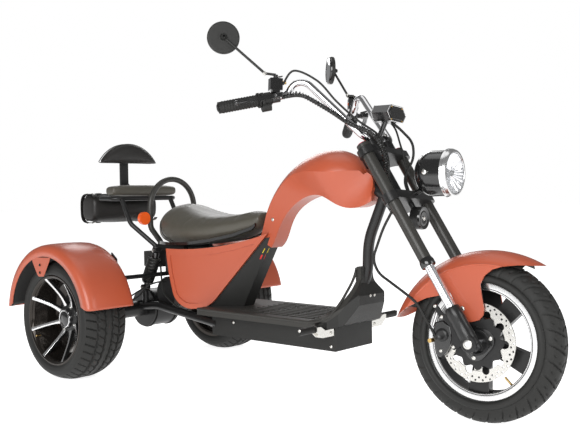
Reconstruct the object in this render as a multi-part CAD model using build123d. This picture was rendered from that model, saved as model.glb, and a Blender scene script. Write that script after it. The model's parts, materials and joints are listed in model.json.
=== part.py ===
from build123d import *
import math
import os

# Electric trike. Millimetres, +X forward, +Y to the rider's left, +Z up, floor at Z = 0.
# The construction datum is the floor point under the rear axle. At the end all nodes are moved
# together, so that the origin lies under the centre of the whole outline. Tables whose name ends
# in share hold fractions of the named spans beside them.

# Driving dimensions: chassis
wheelbase = 1462.0
rake_deg = 33.0
steer_rest_deg = 6.5
stem_offset = 35.0
rear_half_track = 375.0
running_gap = 0.3
bearing_gap = 0.05
overrun = 5.0

# Wheels and tyres
front_tyre_radius = 228.0
front_tyre_half_width = 57.0
front_crown = 40.0
front_rim_radius = 166.0
front_rim_half_width = 40.0
rear_tyre_radius = 215.0
rear_tyre_half_width = 88.0
rear_crown = 20.0
rear_rim_radius = 160.0
rear_rim_half_width = 82.0
rim_seat_depth = 14.0
rim_wall = 4.0
flange_thick = 4.0
crown_half_share = 0.62
crown_drop_share = 0.27

# Hubs and brakes
front_axle_radius = 8.0
rear_axle_radius = 14.0
front_hub_radius = 30.0
front_hub_half = 48.0
front_spokes = 5
front_spoke_half_thick = 14.0
front_spoke_foot = 40.0
front_spoke_tip = 62.0
front_spoke_offset = 12.0
front_spoke_phase_deg = -32.0
rear_hub_radius = 42.0
rear_hub_inner = -20.0
rear_hub_outer = 40.0
rear_spoke_pairs = 5
rear_spoke_width = 13.0
rear_spoke_thick = 14.0
rear_spoke_split_deg = 9.0
hub_cap_radius = 28.0
hub_cap_high = 16.0
axle_end = 30.0
disc_radius = 110.0
disc_inner_radius = 80.0
disc_thick = 4.0
disc_offset = 60.0
disc_scallops = 10
disc_scallop_radius = 11.0
disc_holes = 30
disc_hole_radius = 3.0
disc_hole_pitch = 8.0
disc_hole_lean_deg = 3.0
carrier_arms = 5
carrier_width = 22.0
carrier_ring = 46.0

# Fork
leg_half_spacing = 103.0
leg_top = 655.0
leg_seal = 253.0
leg_radius = 18.5
slider_radius = 14.0
slider_foot = 52.0
lug_radius = 20.0
lug_low = -22.0
cap_radius = 20.0
cap_high = 12.0
lower_clamp_low = 462.0
lower_clamp_high = 490.0
upper_clamp_low = 628.0
upper_clamp_high = 650.0
clamp_margin = 9.0
clamp_swing_deg = (-32.0, -16.0, 0.0, 16.0, 32.0)
stem_radius = 13.0
head_radius = 27.0
head_gap = 2.0
axle_overhang = 26.0

# Handlebar, given as (side, ahead of the legs, height along them)
bar_radius = 11.0
bar_clamp_height = 693.0
bar_clamp_ahead = 6.0
bar_foot_half = 80.0
bar_top = (172.0, -46.0, 954.0)
bar_cluster = (190.0, -102.0, 915.0)
bar_end = (350.0, -240.0, 943.0)
bar_foot_bend = 34.0
bar_top_bend = 36.0
bar_cluster_bend = 36.0
riser_half = 46.0
riser_width = 22.0
riser_radius = 17.0
grip_radius = 17.5
grip_length = 128.0
grip_end_wall = 4.0
grip_flange_radius = 23.0
grip_flange_wide = 6.0

# Controls on the bar: distances back from its end, for the left side
perch_back = 174.0
perch_width = 24.0
perch_radius = 17.0
perch_gap = 1.0
perch_sink = 14.0
pod_back = 146.0
pod_width = 28.0
pod_radius = 20.0
pod_drop = 22.0
pod_lobe_share = 0.8
lever_length = 130.0
lever_radius = 5.0
lever_ball_radius = 7.5
lever_ahead = 46.0
reservoir_size = (38.0, 34.0, 36.0)
mirror_boss_radius = 7.0
mirror_boss_high = 12.0
mirror_knee = (234.0, -113.0, 999.0)
mirror_centre = (302.0, -146.0, 1152.0)
mirror_radius = 50.0
mirror_rim = 5.0
mirror_thick = 18.0
mirror_turn_deg = 45.0
mirror_stem_radius = 4.0
display_centre = (0.0, 78.0, 738.0)
display_size = (58.0, 112.0, 48.0)
display_side_share = 0.66
display_stalk = 8.0

# Headlight and horn
lamp_height = 704.0
lamp_rear = 1236.0
lamp_front = 1336.0
lamp_radius = 72.0
lamp_lens_radius = 60.0
lamp_ring_deep = 18.0
lamp_wall = 4.0
lens_dome = 12.0
lamp_shoulder_share = 0.55
lamp_back_share = 0.4
lamp_cheek_share = (0.2, 0.8)
lamp_bracket = 8.0
horn_radius = 34.0
horn_deep = 30.0
horn_drop = 52.0

# Front fender, given as (ahead of the legs, height along them): an arc whose centre lies below the
# axle, so that both tips flare from the tyre
fender_centre = (-19.3, -59.7)
fender_radius = 316.4
fender_span_deg = (28.0, 127.3)
fender_half = 68.0
fender_skirt = 40.0
fender_sheet = 4.0
fender_roll = 3.5
fender_ear_outline = [(-137.0, 230.0), (-137.0, 189.0), (-100.0, 185.0), (-71.0, 181.0), (-34.0, 168.0),
                      (2.0, 157.0), (-4.0, 76.0), (3.0, 63.0), (17.0, 55.0), (38.0, 49.0), (56.0, 54.0),
                      (68.0, 69.0), (79.0, 99.0), (93.0, 131.0), (117.0, 145.0), (145.0, 148.0), (174.0, 140.0),
                      (192.0, 131.0), (207.0, 230.0)]
fender_front_cut = [(145.0, 148.0), (174.0, 140.0), (211.0, 122.0), (262.0, 88.5), (300.0, 64.0),
                    (300.0, -100.0), (145.0, -100.0)]
fender_rear_cut = [(-137.0, 189.0), (-240.0, 189.0), (-240.0, 80.0), (-137.0, 80.0)]
fender_pad_height = 91.0
fender_pad_radius = 9.0
caliper_gap = 2.0
caliper_height = 26.0
caliper_size = (46.0, 34.0, 74.0)

# Deck and battery box
deck_height = 256.0
deck_thick = 24.0
deck_half_width = 150.0
deck_rear = 412.0
deck_curve_start = 925.0
deck_top_x = 1034.0
deck_top_height = 418.0
deck_wall = 16.0
deck_curve_share = (0.9, 0.345)
rib_rows = 9
rib_pitch = 27.0
rib_width = 11.0
rib_high = 2.5
rib_segments = 3
rib_length = 100.0
rib_start = 590.0
rib_step = 112.0
box_floor = 157.0
box_half_width = 95.0
box_rear = 430.0
box_front = 990.0
cover_nose = 28.0
# The leg shield: half width as a share of the deck's, against height as a share of its rise
flare_share = [(1.0, -0.4), (1.0, 0.04), (0.81, 0.117), (0.64, 0.253), (0.507, 0.42), (0.333, 0.605),
               (0.2, 0.765), (0.133, 1.02)]
# Its plan: along from the start of the curve to the nose, half width as a share of the deck's
shield_plan_share = [(-0.5, 1.0), (0.0, 1.0), (0.365, 0.933), (0.62, 0.7), (1.1, 0.37)]
# The cover's front line: ahead as a share of its nose, height as a share of the rise
cover_front_share = [(-0.35, -0.08), (0.4, 0.12), (1.0, 0.29), (1.05, 0.47), (0.45, 0.7), (0.5, 1.0)]

# Frame tubes
backbone_radius = 19.0
downtube_radius = 17.0
# Backbone points as shares of the tank cover's length and height
backbone_share = [(1.08, 0.463), (0.808, 0.718), (0.528, 0.739), (0.298, 0.54)]
backbone_bends = [140.0, 160.0, 110.0]
backbone_foot_ahead = 22.0
downtube_top = (1130.0, 672.0)
downtube_knee = (1052.0, 500.0)
downtube_low = (1047.0, 400.0)
downtube_foot_x = 975.0
downtube_bends = [200.0, 120.0]

# Tank cover: the line of its back
tank_rear = 596.0
tank_front = 1096.0
tank_low = 500.0
tank_high = 787.0
tank_half = 92.0
tank_deep = 150.0
# Sections: along, height of the back, lean, half width, drop to the crease, depth, foot half width
tank_share = [
    (1.0, 0.585, 20.0, 0.37, 0.10, 0.31, 0.6),
    (0.808, 0.934, 22.0, 0.85, 0.36, 1.06, 0.5),
    (0.618, 1.0, 0.0, 1.0, 0.45, 0.99, 0.45),
    (0.408, 0.895, -30.0, 0.80, 0.30, 0.86, 0.55),
    (0.218, 0.676, -52.0, 0.47, 0.16, 0.74, 0.75),
    (0.088, 0.383, -62.0, 0.36, 0.10, 0.60, 0.85),
    (0.0, 0.0, -62.0, 0.34, 0.08, 0.47, 0.85),
]

# Side panels: an outline in the panel's own spans, swung out towards the rear
panel_rear = 232.0
panel_front = 650.0
panel_low = 246.0
panel_high = 516.0
panel_thick = 12.0
panel_swing_deg = 15.0
panel_tip_half = 30.0
panel_flange = 18.0
panel_press = 4.0
# Each arc of the outline: its middle point, then its end; it starts at the tip
panel_share = [
    ((0.474, 0.815), (0.0, 0.785)),
    ((0.024, 0.481), (0.072, 0.163)),
    ((0.163, 0.026), (0.287, 0.0)),
    ((0.402, 0.037), (0.498, 0.148)),
]
belly_nose_half = 25.0
belly_nose_low = 518.0
belly_nose_high = 662.0
belly_kink_low = 412.0
belly_kink_low_half = 94.0
belly_kink_high_half = 32.0
belly_kink_high = 652.0
belly_rear = 270.0
belly_top = 504.0
belly_rear_top = 400.0

# Seat, in spans of its length, height and half width
seat_rear = 140.0
seat_front = 616.0
seat_low = 466.0
seat_high = 622.0
seat_half = 138.0
seat_crown = 76.0
seat_side_share = [((0.0, 0.05), (0.0, 0.4), (0.02, 0.7)), ((0.02, 0.7), (0.06, 0.93), (0.15, 1.0)),
                   ((0.15, 1.0), (0.45, 0.72), (0.945, 0.85)), ((0.945, 0.85), (1.0, 0.8), (0.985, 0.7)),
                   ((0.985, 0.7), (0.965, 0.56), (0.937, 0.416)), ((0.937, 0.416), (0.609, 0.13), (0.189, 0.0))]
seat_plan_share = [((-0.02, 0.0), (0.02, 0.64), (0.19, 1.0)), ((0.19, 1.0), (0.36, 1.02), (0.504, 0.93))]
seat_neck_share = [(0.504, 0.93), (0.882, 0.45), (1.08, 0.25), (1.08, 0.0)]

# Tail
hoop_x = 112.0
hoop_half = 118.0
hoop_radius = 10.5
hoop_top = 722.0
hoop_foot = 10.0
hoop_flare = 64.0
hoop_foot_bend = 10.6
hoop_bend = 40.0
rail_half = 62.0
rail_radius = 12.0
rail_height = 453.7
rail_front = 256.0
rail_rear = 80.0
strut_half = 120.0
strut_radius = 9.0
strut_knee = (7.0, 90.3)
strut_bend = 50.0
rack_height = 640.0
rack_front = -46.0
rack_rear = -156.0
rack_half = 150.0
rack_tube = 9.0
rack_rung = 6.3
rack_bend = 30.0
rack_rung_share = (0.327, 0.664)
post_x = -188.0
post_width = 36.0
post_thick = 10.0
post_foot = 8.0
post_knee_low = 28.0
post_knee_high = 56.0
post_high = 160.0
pad_low = 140.0
pad_high = 222.0
pad_half = 137.0
pad_thick = 50.0
roll_rear = -108.0
roll_front = -40.0
roll_half = 158.0
roll_high = 41.0
roll_round = 16.0
bag_rear = -268.0
bag_half = 160.0
bag_drop = 95.0
bag_rise = 20.0
bag_round = 18.0
lamp_stand = 4.0
turn_lamp_rise = 112.0
turn_lamp_deep = 14.0
turn_lamp_radius = 24.0
turn_arm_radius = 5.0
tail_lamp_half = 40.0
tail_lamp_deep = 10.0
tail_lamp_high = 25.0
tail_lamp_drop = 25.0

# Rear suspension and drive; heights are from the rails or from the rear axle
shock_y = 84.0
shock_top = (118.0, 9.7)
shock_foot = (44.0, 85.0)
shock_radius = 24.0
shock_rod_radius = 9.0
shock_eye_radius = 12.0
shock_eye_half = 15.0
coil_turns = 8
coil_wire = 6.0
coil_from_share = 0.22
coil_step_share = 0.075
case_rear = -10.0
case_half = 46.0
case_drop = 65.0
case_flange = 7.0
axle_tube_radius = 30.0
axle_tube_half = 270.0
gear_case_radius = 72.0
gear_case_half = 60.0
arm_half = 84.0
arm_radius = 15.0
arm_rise = 10.0
arm_knee_x = 120.0
arm_knee_rise = 21.0
arm_fall = 19.0
arm_bend = 200.0
motor_place = (150.0, 284.0)
motor_radius = 56.0
rear_fender_gap = 53.0
rear_fender_centre = (-15.0, 2.0)
rear_fender_span_deg = (11.0, 174.0)
rear_fender_half = 98.0
rear_fender_y = 381.0
rear_fender_skirt = 22.0
rear_fender_sheet = 5.0
rear_fender_roll = 6.0
bar_rise = 137.0
bar_tube = 8.0
stay_rear = 12.0
stay_front = 18.0
stay_high = 95.0
stay_thick = 5.0
stay_share = [(0.0, 0.0), (1.0, 0.0), (1.0, 0.786), (0.0, 1.0)]
hanger_half = 30.0

# Footpegs: the pivot is (across, height); so is the outline of a clevis ear
peg_x = 972.0
peg_pivot = (168.0, 236.0)
peg_length = 66.0
peg_radius = 11.0
peg_shoulder = 14.0
peg_tongue_half = 8.5
peg_tongue_radius = 10.0
peg_ear_half = 15.0
peg_ear_gap = 0.5
peg_pin_radius = 4.0
peg_ear_outline = [(95.0, 208.0), (152.0, 208.0), (178.0, 230.0), (178.0, 243.0), (160.0, 243.0),
                   (140.0, 230.0), (95.0, 230.0)]
peg_pocket = ((950.0, 994.0), (130.0, 152.0), (200.0, 253.0))

# Held cords of the fork, as (side, ahead of the legs, height along them)
bend_share = 0.45
hose_radius = 4.0
loom_radius = 6.0
lead_radius = 4.0
brake_hose_route = [(-58.0, -40.0, 458.2), (-64.0, -90.0, 429.6), (-75.0, -163.0, 367.0),
                    (-78.0, -167.0, 320.0), (-84.0, -123.0, 237.0), (-82.0, -97.0, 180.0), (-78.0, -98.0, 62.0)]
loom_route = [(-226.0, -104.0, 902.0), (-190.0, -57.0, 885.0), (-150.0, -19.0, 801.0), (-118.0, 2.0, 737.0),
              (-88.0, 42.0, 685.0), (-84.0, 42.0, 610.0), (-44.0, -2.0, 565.0), (-42.0, -6.0, 490.8)]
lead_route = [(4.0, 72.0, 714.0), (20.0, 78.0, 690.0), (58.0, 80.0, 640.0), (60.0, 57.0, 597.0),
              (32.0, 2.0, 550.0), (30.0, -6.0, 490.8)]


def fork_place(side, length, height):
    """Fork coordinates (side, ahead of the legs, height along them) to the datum frame."""
    turn = math.radians(rake_deg)
    x = wheelbase + length * math.cos(turn) - height * math.sin(turn)
    z = front_tyre_radius + length * math.sin(turn) + height * math.cos(turn)
    return Vector(x, side, z)


fork_up = fork_place(0, 0, 1) - fork_place(0, 0, 0)
fork_ahead = fork_place(0, 1, 0) - fork_place(0, 0, 0)
stem_axis = Axis(fork_place(0, -stem_offset, 0), fork_up)


def fork_plane(side, length, height):
    """A plane square to the fork legs: its x runs along +Y and its y runs backwards."""
    return Plane(fork_place(side, length, height), x_dir=(0, 1, 0), z_dir=fork_up)


def turned(shape):
    """A fork shape, drawn straight ahead, at its parked steering angle."""
    return shape.rotate(stem_axis, steer_rest_deg)


def rod(start, end, radius):
    start, end = Vector(*start), Vector(*end)
    return extrude(Plane(start, z_dir=end - start) * Circle(radius), amount=(end - start).length)


def bent_tube(points, radii, radius):
    """A round bar along straight runs joined by tangent arcs."""
    path = FilletPolyline(*[Vector(*p) for p in points], radius=radii)
    return sweep(Plane(path @ 0, z_dir=path % 0) * Circle(radius), path=path)


def widest_bend(before, corner, after):
    """The largest bend at a corner that leaves its neighbours the same room."""
    first, second = corner - before, after - corner
    turn = math.radians(first.get_angle(second))
    return min(first.length, second.length) * bend_share / math.tan(turn / 2)


def soft_cord(route, radius):
    """A cord of the fork, given as (side, ahead, height), with its bends as wide as it has room for."""
    points = [fork_place(*p) for p in route]
    bends = [widest_bend(*points[i:i + 3]) for i in range(len(points) - 2)]
    return bent_tube(points, bends, radius)


def at_share(share, across, up):
    """A point of an outline given as shares of two (low, high) spans."""
    return (across[0] + (across[1] - across[0]) * share[0], up[0] + (up[1] - up[0]) * share[1])


def slab(outline, low, high):
    """A closed outline in (x, z), made solid from y = low to y = high."""
    face = make_face(Plane.XZ * outline)
    return extrude(face, amount=high - low, dir=(0, 1, 0)).moved(Location((0, low, 0)))


def block(x, y, z):
    """A box from its (low, high) spans."""
    size = [b - a for a, b in (x, y, z)]
    centre = [(a + b) / 2 for a, b in (x, y, z)]
    return Box(*size).moved(Location(centre))


def mirrored(shape):
    return mirror(shape, about=Plane.XZ)


def both(shape):
    """A shape and its mirror image, kept as two solids."""
    return Compound([shape, mirrored(shape)])


def joined(*shapes):
    total = shapes[0]
    for shape in shapes[1:]:
        total = total + shape
    return total


def about_axle(profile, centre):
    """Turns a profile drawn as (across, radius) about the wheel's axle."""
    face = Plane(origin=(0, 0, 0), x_dir=(0, 1, 0), z_dir=(1, 0, 0)) * profile
    return revolve(face, axis=Axis((0, 0, 0), (0, 1, 0)), revolution_arc=360).moved(Location(centre))


front_centre = (wheelbase, 0, front_tyre_radius)


def tyre_profile(radius, half_width, crown, rim_radius, rim_half):
    """Seat on the rim, side walls, shoulders and crown, as (across, radius)."""
    seat = rim_radius - rim_seat_depth
    bead = rim_half - flange_thick
    shoulder = radius - crown
    shoulder_half = half_width - crown * crown_drop_share
    lip = rim_radius + running_gap
    half = [
        Line((0, seat), (bead, seat)),
        Line((bead, seat), (bead, lip)),
        Line((bead, lip), (rim_half, lip)),
        ThreePointArc((rim_half, lip), (half_width, (lip + shoulder) / 2), (shoulder_half, shoulder)),
        ThreePointArc((shoulder_half, shoulder),
                      (half_width * crown_half_share, radius - crown * crown_drop_share), (0, radius)),
        Line((0, radius), (0, seat)),
    ]
    face = make_face(Curve() + half)
    return face + mirror(face, about=Plane.YZ)


def barrel_profile(rim_radius, rim_half):
    seat = rim_radius - rim_seat_depth
    bead = rim_half - flange_thick
    corners = [(-rim_half, rim_radius), (-bead, rim_radius), (-bead, seat), (bead, seat),
               (bead, rim_radius), (rim_half, rim_radius), (rim_half, seat - rim_wall),
               (-rim_half, seat - rim_wall)]
    return make_face(Polyline(*corners, close=True))


def ring(inner, outer, low, high):
    """A flat ring or disc about the Y axis."""
    corners = [(low, inner), (high, inner), (high, outer), (low, outer)]
    return about_axle(make_face(Polyline(*corners, close=True)), (0, 0, 0))


def front_tyre():
    profile = tyre_profile(front_tyre_radius, front_tyre_half_width, front_crown,
                           front_rim_radius, front_rim_half_width)
    return turned(about_axle(profile, front_centre))


def front_spoke():
    """One wide cast spoke along +Z, broader at the barrel than at the hub."""
    reach = front_rim_radius - rim_seat_depth - rim_wall
    foot, tip = front_spoke_foot / 2, front_spoke_tip / 2
    root = front_hub_radius - overrun
    outline = Polyline((-foot, root), (foot, root), (tip, reach), (-tip, reach), close=True)
    middle = -front_spoke_offset
    return slab(outline, middle - front_spoke_half_thick, middle + front_spoke_half_thick)


def front_rim():
    wheel = about_axle(barrel_profile(front_rim_radius, front_rim_half_width), (0, 0, 0))
    wheel = wheel + ring(front_axle_radius + bearing_gap, front_hub_radius, -front_hub_half, front_hub_half)
    arm = front_spoke()
    for number in range(front_spokes):
        wheel = wheel + arm.rotate(Axis.Y, 360 / front_spokes * number + front_spoke_phase_deg)
    return turned(wheel.moved(Location(front_centre)))


def disc_outline():
    """Front view of the disc: a scalloped inner edge and two rows of holes."""
    face = Circle(disc_radius) - Circle(disc_inner_radius)
    scallops = PolarLocations(disc_inner_radius, disc_scallops)
    face = face - [spot * Circle(disc_scallop_radius) for spot in scallops]
    middle = (disc_radius + disc_inner_radius + disc_scallop_radius) / 2
    for row in (-1, 1):
        lean = row * disc_hole_lean_deg
        spots = PolarLocations(middle + row * disc_hole_pitch / 2, disc_holes, start_angle=lean)
        face = face - [spot * Circle(disc_hole_radius) for spot in spots]
    return face


def brake_disc():
    outer = -disc_offset + disc_thick
    plate = extrude(Plane.XZ * disc_outline(), amount=disc_thick).moved(Location((0, outer, 0)))
    hole = front_hub_radius + running_gap
    carrier = ring(hole, carrier_ring, outer, outer + disc_thick)
    reach = disc_inner_radius + disc_thick
    arm = block((-carrier_width / 2, carrier_width / 2), (outer, outer + disc_thick), (hole + overrun, reach))
    for number in range(carrier_arms):
        carrier = carrier + arm.rotate(Axis.Y, 360 / carrier_arms * (number + 1 / 2))
    sleeve = ring(hole, front_hub_radius + disc_thick * 2, outer, overrun - front_hub_half)
    return turned((plate + carrier + sleeve).moved(Location(front_centre)))


def rear_tyre(side):
    profile = tyre_profile(rear_tyre_radius, rear_tyre_half_width, rear_crown,
                           rear_rim_radius, rear_rim_half_width)
    return about_axle(profile, (0, side * rear_half_track, rear_tyre_radius))


def rear_rim():
    """The right rear wheel: a deep dish with paired spokes that run in from the outer lip."""
    wheel = about_axle(barrel_profile(rear_rim_radius, rear_rim_half_width), (0, 0, 0))
    hub = ring(rear_axle_radius + bearing_gap, rear_hub_radius, -rear_hub_outer, -rear_hub_inner)
    cap = ring(0, hub_cap_radius, -rear_hub_outer - hub_cap_high, -rear_hub_outer)
    wheel = wheel + hub + cap
    reach = rear_rim_radius - rim_seat_depth - rim_wall
    lip = -rear_rim_half_width + rear_spoke_thick / 2
    foot = (0, -rear_hub_outer + rear_spoke_thick / 2, rear_hub_radius - overrun)
    tip = (0, lip, reach)
    plane = Plane(foot, x_dir=(1, 0, 0), z_dir=Vector(*tip) - Vector(*foot))
    length = (Vector(*tip) - Vector(*foot)).length
    arm = extrude(plane * Rectangle(rear_spoke_width, rear_spoke_thick), amount=length)
    for number in range(rear_spoke_pairs):
        for half in (-1, 1):
            angle = 360 / rear_spoke_pairs * number + half * rear_spoke_split_deg
            wheel = wheel + arm.rotate(Axis.Y, angle)
    return wheel.moved(Location((0, -rear_half_track, rear_tyre_radius)))


# Fork pieces, drawn straight ahead
def fork_tubes():
    tubes = []
    for side in (-leg_half_spacing, leg_half_spacing):
        tube = rod(fork_place(side, 0, leg_seal), fork_place(side, 0, leg_top), leg_radius)
        cap = rod(fork_place(side, 0, leg_top), fork_place(side, 0, leg_top + cap_high), cap_radius)
        tubes.append(tube + cap)
    return turned(Compound(tubes))


def fork_sliders():
    parts = []
    for side in (-leg_half_spacing, leg_half_spacing):
        bar = rod(fork_place(side, 0, slider_foot), fork_place(side, 0, leg_seal), slider_radius)
        lug = rod(fork_place(side, 0, lug_low), fork_place(side, 0, slider_foot), lug_radius)
        parts.append(bar + lug)
    reach = leg_half_spacing + axle_overhang
    axle = rod(fork_place(-reach, 0, 0), fork_place(reach, 0, 0), front_axle_radius)
    return turned(joined(*parts, axle))


def clamp_plate(low, high, extra=0):
    """A plate that ties both legs and the stem together, grown by an extra margin where asked."""
    plane = fork_plane(0, 0, low)
    margin, boss = leg_radius + clamp_margin + extra, head_radius + extra
    web = [(-leg_half_spacing, -margin), (leg_half_spacing, -margin), (leg_half_spacing, margin),
           (boss, stem_offset + boss), (-boss, stem_offset + boss), (-leg_half_spacing, margin)]
    outline = make_face(Polyline(*web, close=True))
    for side in (-leg_half_spacing, leg_half_spacing):
        outline = outline + Pos(side, 0) * Circle(margin)
    plate = extrude(plane * outline, amount=high - low)
    for side in (-leg_half_spacing, leg_half_spacing):
        start, end = fork_place(side, 0, low - overrun), fork_place(side, 0, high + overrun)
        plate = plate - rod(start, end, leg_radius + running_gap)
    return plate


def lower_clamp():
    stem = rod(fork_place(0, -stem_offset, lower_clamp_low), fork_place(0, -stem_offset, upper_clamp_low),
               stem_radius)
    return turned(clamp_plate(lower_clamp_low, lower_clamp_high) + stem)


def upper_clamp():
    plate = clamp_plate(upper_clamp_low, upper_clamp_high)
    for side in (-riser_half, riser_half):
        post = rod(fork_place(side, bar_clamp_ahead, upper_clamp_high),
                   fork_place(side, bar_clamp_ahead, bar_clamp_height), riser_radius)
        head = rod(fork_place(side - riser_width / 2, bar_clamp_ahead, bar_clamp_height),
                   fork_place(side + riser_width / 2, bar_clamp_ahead, bar_clamp_height), riser_radius)
        plate = plate + post + head
    hole = rod(fork_place(-leg_half_spacing, bar_clamp_ahead, bar_clamp_height),
               fork_place(leg_half_spacing, bar_clamp_ahead, bar_clamp_height), bar_radius + running_gap)
    return turned(plate - hole)


def bar_route():
    half = [bar_end, bar_cluster, bar_top, (bar_foot_half, bar_clamp_ahead, bar_clamp_height)]
    right = [(-side, ahead, high) for side, ahead, high in half]
    return [fork_place(*p) for p in right + half[::-1]]


def handlebar():
    bends = [bar_cluster_bend, bar_top_bend, bar_foot_bend]
    return turned(bent_tube(bar_route(), bends + bends[::-1], bar_radius))


def grip_line():
    end = fork_place(*bar_end)
    return end, (end - fork_place(*bar_cluster)).normalized()


def grips():
    end, along = grip_line()
    foot = end - along * (grip_length - grip_end_wall)
    outer = rod(foot, end + along * grip_end_wall, grip_radius)
    outer = outer + rod(foot, foot + along * grip_flange_wide, grip_flange_radius)
    hole = rod(end - along * grip_length, end + along * running_gap, bar_radius + running_gap)
    return turned(both(outer - hole))


def on_bar(back):
    end, along = grip_line()
    return end - along * back


def bar_ring(back, width, radius):
    _, along = grip_line()
    middle = on_bar(back)
    solid = rod(middle - along * width / 2, middle + along * width / 2, radius)
    return solid - rod(middle - along * width, middle + along * width, bar_radius + running_gap)


def brake_perch():
    """Left lever perch, reservoir and lever; the right one is its mirror image."""
    _, along = grip_line()
    middle = on_bar(perch_back)
    ahead = Vector(0, 0, 1).cross(along).normalized() * -1
    pivot = middle + ahead * lever_ahead
    arm = rod(middle + ahead * perch_sink, pivot, perch_radius / 2)
    lever = rod(pivot, pivot + along * lever_length, lever_radius)
    tip = Sphere(lever_ball_radius).moved(Location(pivot + along * lever_length))
    neck_plane = Plane(middle + Vector(0, 0, perch_sink), x_dir=along)
    neck = extrude(neck_plane * Rectangle(perch_width, perch_width), amount=pod_radius)
    tank_plane = Plane(middle + Vector(0, 0, pod_radius + perch_gap), x_dir=along)
    tank = extrude(tank_plane * Rectangle(reservoir_size[0], reservoir_size[1]), amount=reservoir_size[2])
    return joined(bar_ring(perch_back, perch_width, perch_radius), arm, lever, tip, neck, tank)


def brake_controls():
    return turned(both(brake_perch()))


def switch_pods():
    """Switch housings round the bar, each with a lower part that hangs behind it."""
    _, along = grip_line()
    middle = on_bar(pod_back)
    drop = rod(middle - along * pod_width / 2, middle + along * pod_width / 2, pod_radius * pod_lobe_share)
    drop = drop.moved(Location((0, 0, -pod_drop)))
    bar = rod(middle - along * pod_width, middle + along * pod_width, bar_radius + running_gap)
    return turned(both(bar_ring(pod_back, pod_width, pod_radius) + (drop - bar)))


def mirror_unit():
    foot = on_bar(perch_back) + Vector(0, 0, reservoir_size[2] + pod_radius + perch_gap)
    base = foot + Vector(0, 0, mirror_boss_high)
    knee = fork_place(*mirror_knee)
    centre = fork_place(*mirror_centre)
    turn = math.radians(mirror_turn_deg)
    face = Vector(-math.cos(turn), -math.sin(turn), 0)
    disc = extrude(Plane(centre, z_dir=face) * Circle(mirror_radius), amount=mirror_thick)
    disc = fillet(disc.edges(), mirror_rim)
    stem = rod(base, knee, mirror_stem_radius) + Sphere(mirror_stem_radius).moved(Location(knee))
    return joined(rod(foot, base, mirror_boss_radius), stem, rod(knee, centre, mirror_stem_radius), disc)


def mirrors():
    return turned(both(mirror_unit()))


def display_pod():
    """Six-sided instrument pod on a stalk from its own clamp on the bar."""
    deep, wide, tall = display_size
    side = wide / 2 * display_side_share
    outline = Polyline((wide / 2, 0), (side, tall / 2), (-side, tall / 2), (-wide / 2, 0), (-side, -tall / 2),
                       (side, -tall / 2), close=True)
    centre = fork_place(*display_centre)
    pod = extrude(Plane.YZ * make_face(outline), amount=deep).moved(Location(centre - Vector(deep / 2, 0, 0)))
    middle = fork_place(0, bar_clamp_ahead, bar_clamp_height)
    half = Vector(0, display_stalk, 0)
    clamp = rod(middle - half, middle + half, riser_radius)
    hole = rod(middle - half * 2, middle + half * 2, bar_radius + running_gap)
    return turned(pod + (clamp + rod(middle, centre, display_stalk) - hole))


# Headlight, drawn about a level axis
def headlight_bucket():
    """Round-backed case, with an arm up from the lower clamp."""
    middle = lamp_rear + (lamp_front - lamp_rear) * lamp_shoulder_share
    rim = lamp_radius - lamp_wall
    along, wide = lamp_cheek_share
    cheek = (lamp_rear + (lamp_front - lamp_rear) * along, lamp_radius * wide)
    flat = lamp_radius * lamp_back_share
    outline = [
        Line((lamp_rear, 0), (lamp_rear, flat)),
        ThreePointArc((lamp_rear, flat), cheek, (middle, rim)),
        Line((middle, rim), (lamp_front, rim)),
        Line((lamp_front, rim), (lamp_front, 0)),
        Line((lamp_front, 0), (lamp_rear, 0)),
    ]
    body = revolve(Plane.XZ * make_face(Curve() + outline), axis=Axis.X, revolution_arc=360)
    body = body.moved(Location((0, 0, lamp_height)))
    foot = fork_place(0, leg_radius, lower_clamp_high - lamp_bracket)
    arm = rod(foot, (middle, 0, lamp_height - lamp_radius * lamp_back_share), lamp_bracket)
    return turned(body + (arm - clamp_plate(lower_clamp_low, lower_clamp_high)))


def headlight_ring():
    corners = [(lamp_front, lamp_lens_radius), (lamp_front + lamp_ring_deep, lamp_lens_radius),
               (lamp_front + lamp_ring_deep, lamp_radius - lamp_wall), (lamp_front + lamp_ring_deep / 2, lamp_radius),
               (lamp_front, lamp_radius)]
    band = revolve(Plane.XZ * make_face(Polyline(*corners, close=True)), axis=Axis.X, revolution_arc=360)
    return turned(band.moved(Location((0, 0, lamp_height))))


def dome_arc(base, edge, high):
    """Half of a round cap's outline, from its edge to its top on the axis."""
    ball = (edge * edge + high * high) / (2 * high)
    half = math.asin(edge / ball) / 2
    return ThreePointArc((base, edge), (base + high - ball * (1 - math.cos(half)), ball * math.sin(half)),
                         (base + high, 0))


def headlight_lens():
    edge = lamp_lens_radius - running_gap
    start = lamp_front + running_gap
    front = lamp_front + lamp_ring_deep
    outline = [
        Line((start, 0), (start, edge)),
        Line((start, edge), (front, edge)),
        dome_arc(front, edge, lens_dome),
        Line((front + lens_dome, 0), (start, 0)),
    ]
    glass = revolve(Plane.XZ * make_face(Curve() + outline), axis=Axis.X, revolution_arc=360)
    return turned(glass.moved(Location((0, 0, lamp_height))))


def horn():
    centre = fork_place(0, 0, lower_clamp_low - horn_drop)
    body = rod(centre - Vector(horn_deep / 2, 0, 0), centre + Vector(horn_deep / 2, 0, 0), horn_radius)
    hanger = rod(centre, fork_place(0, 0, lower_clamp_low - running_gap), lamp_bracket)
    return turned(body + hanger)


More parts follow.
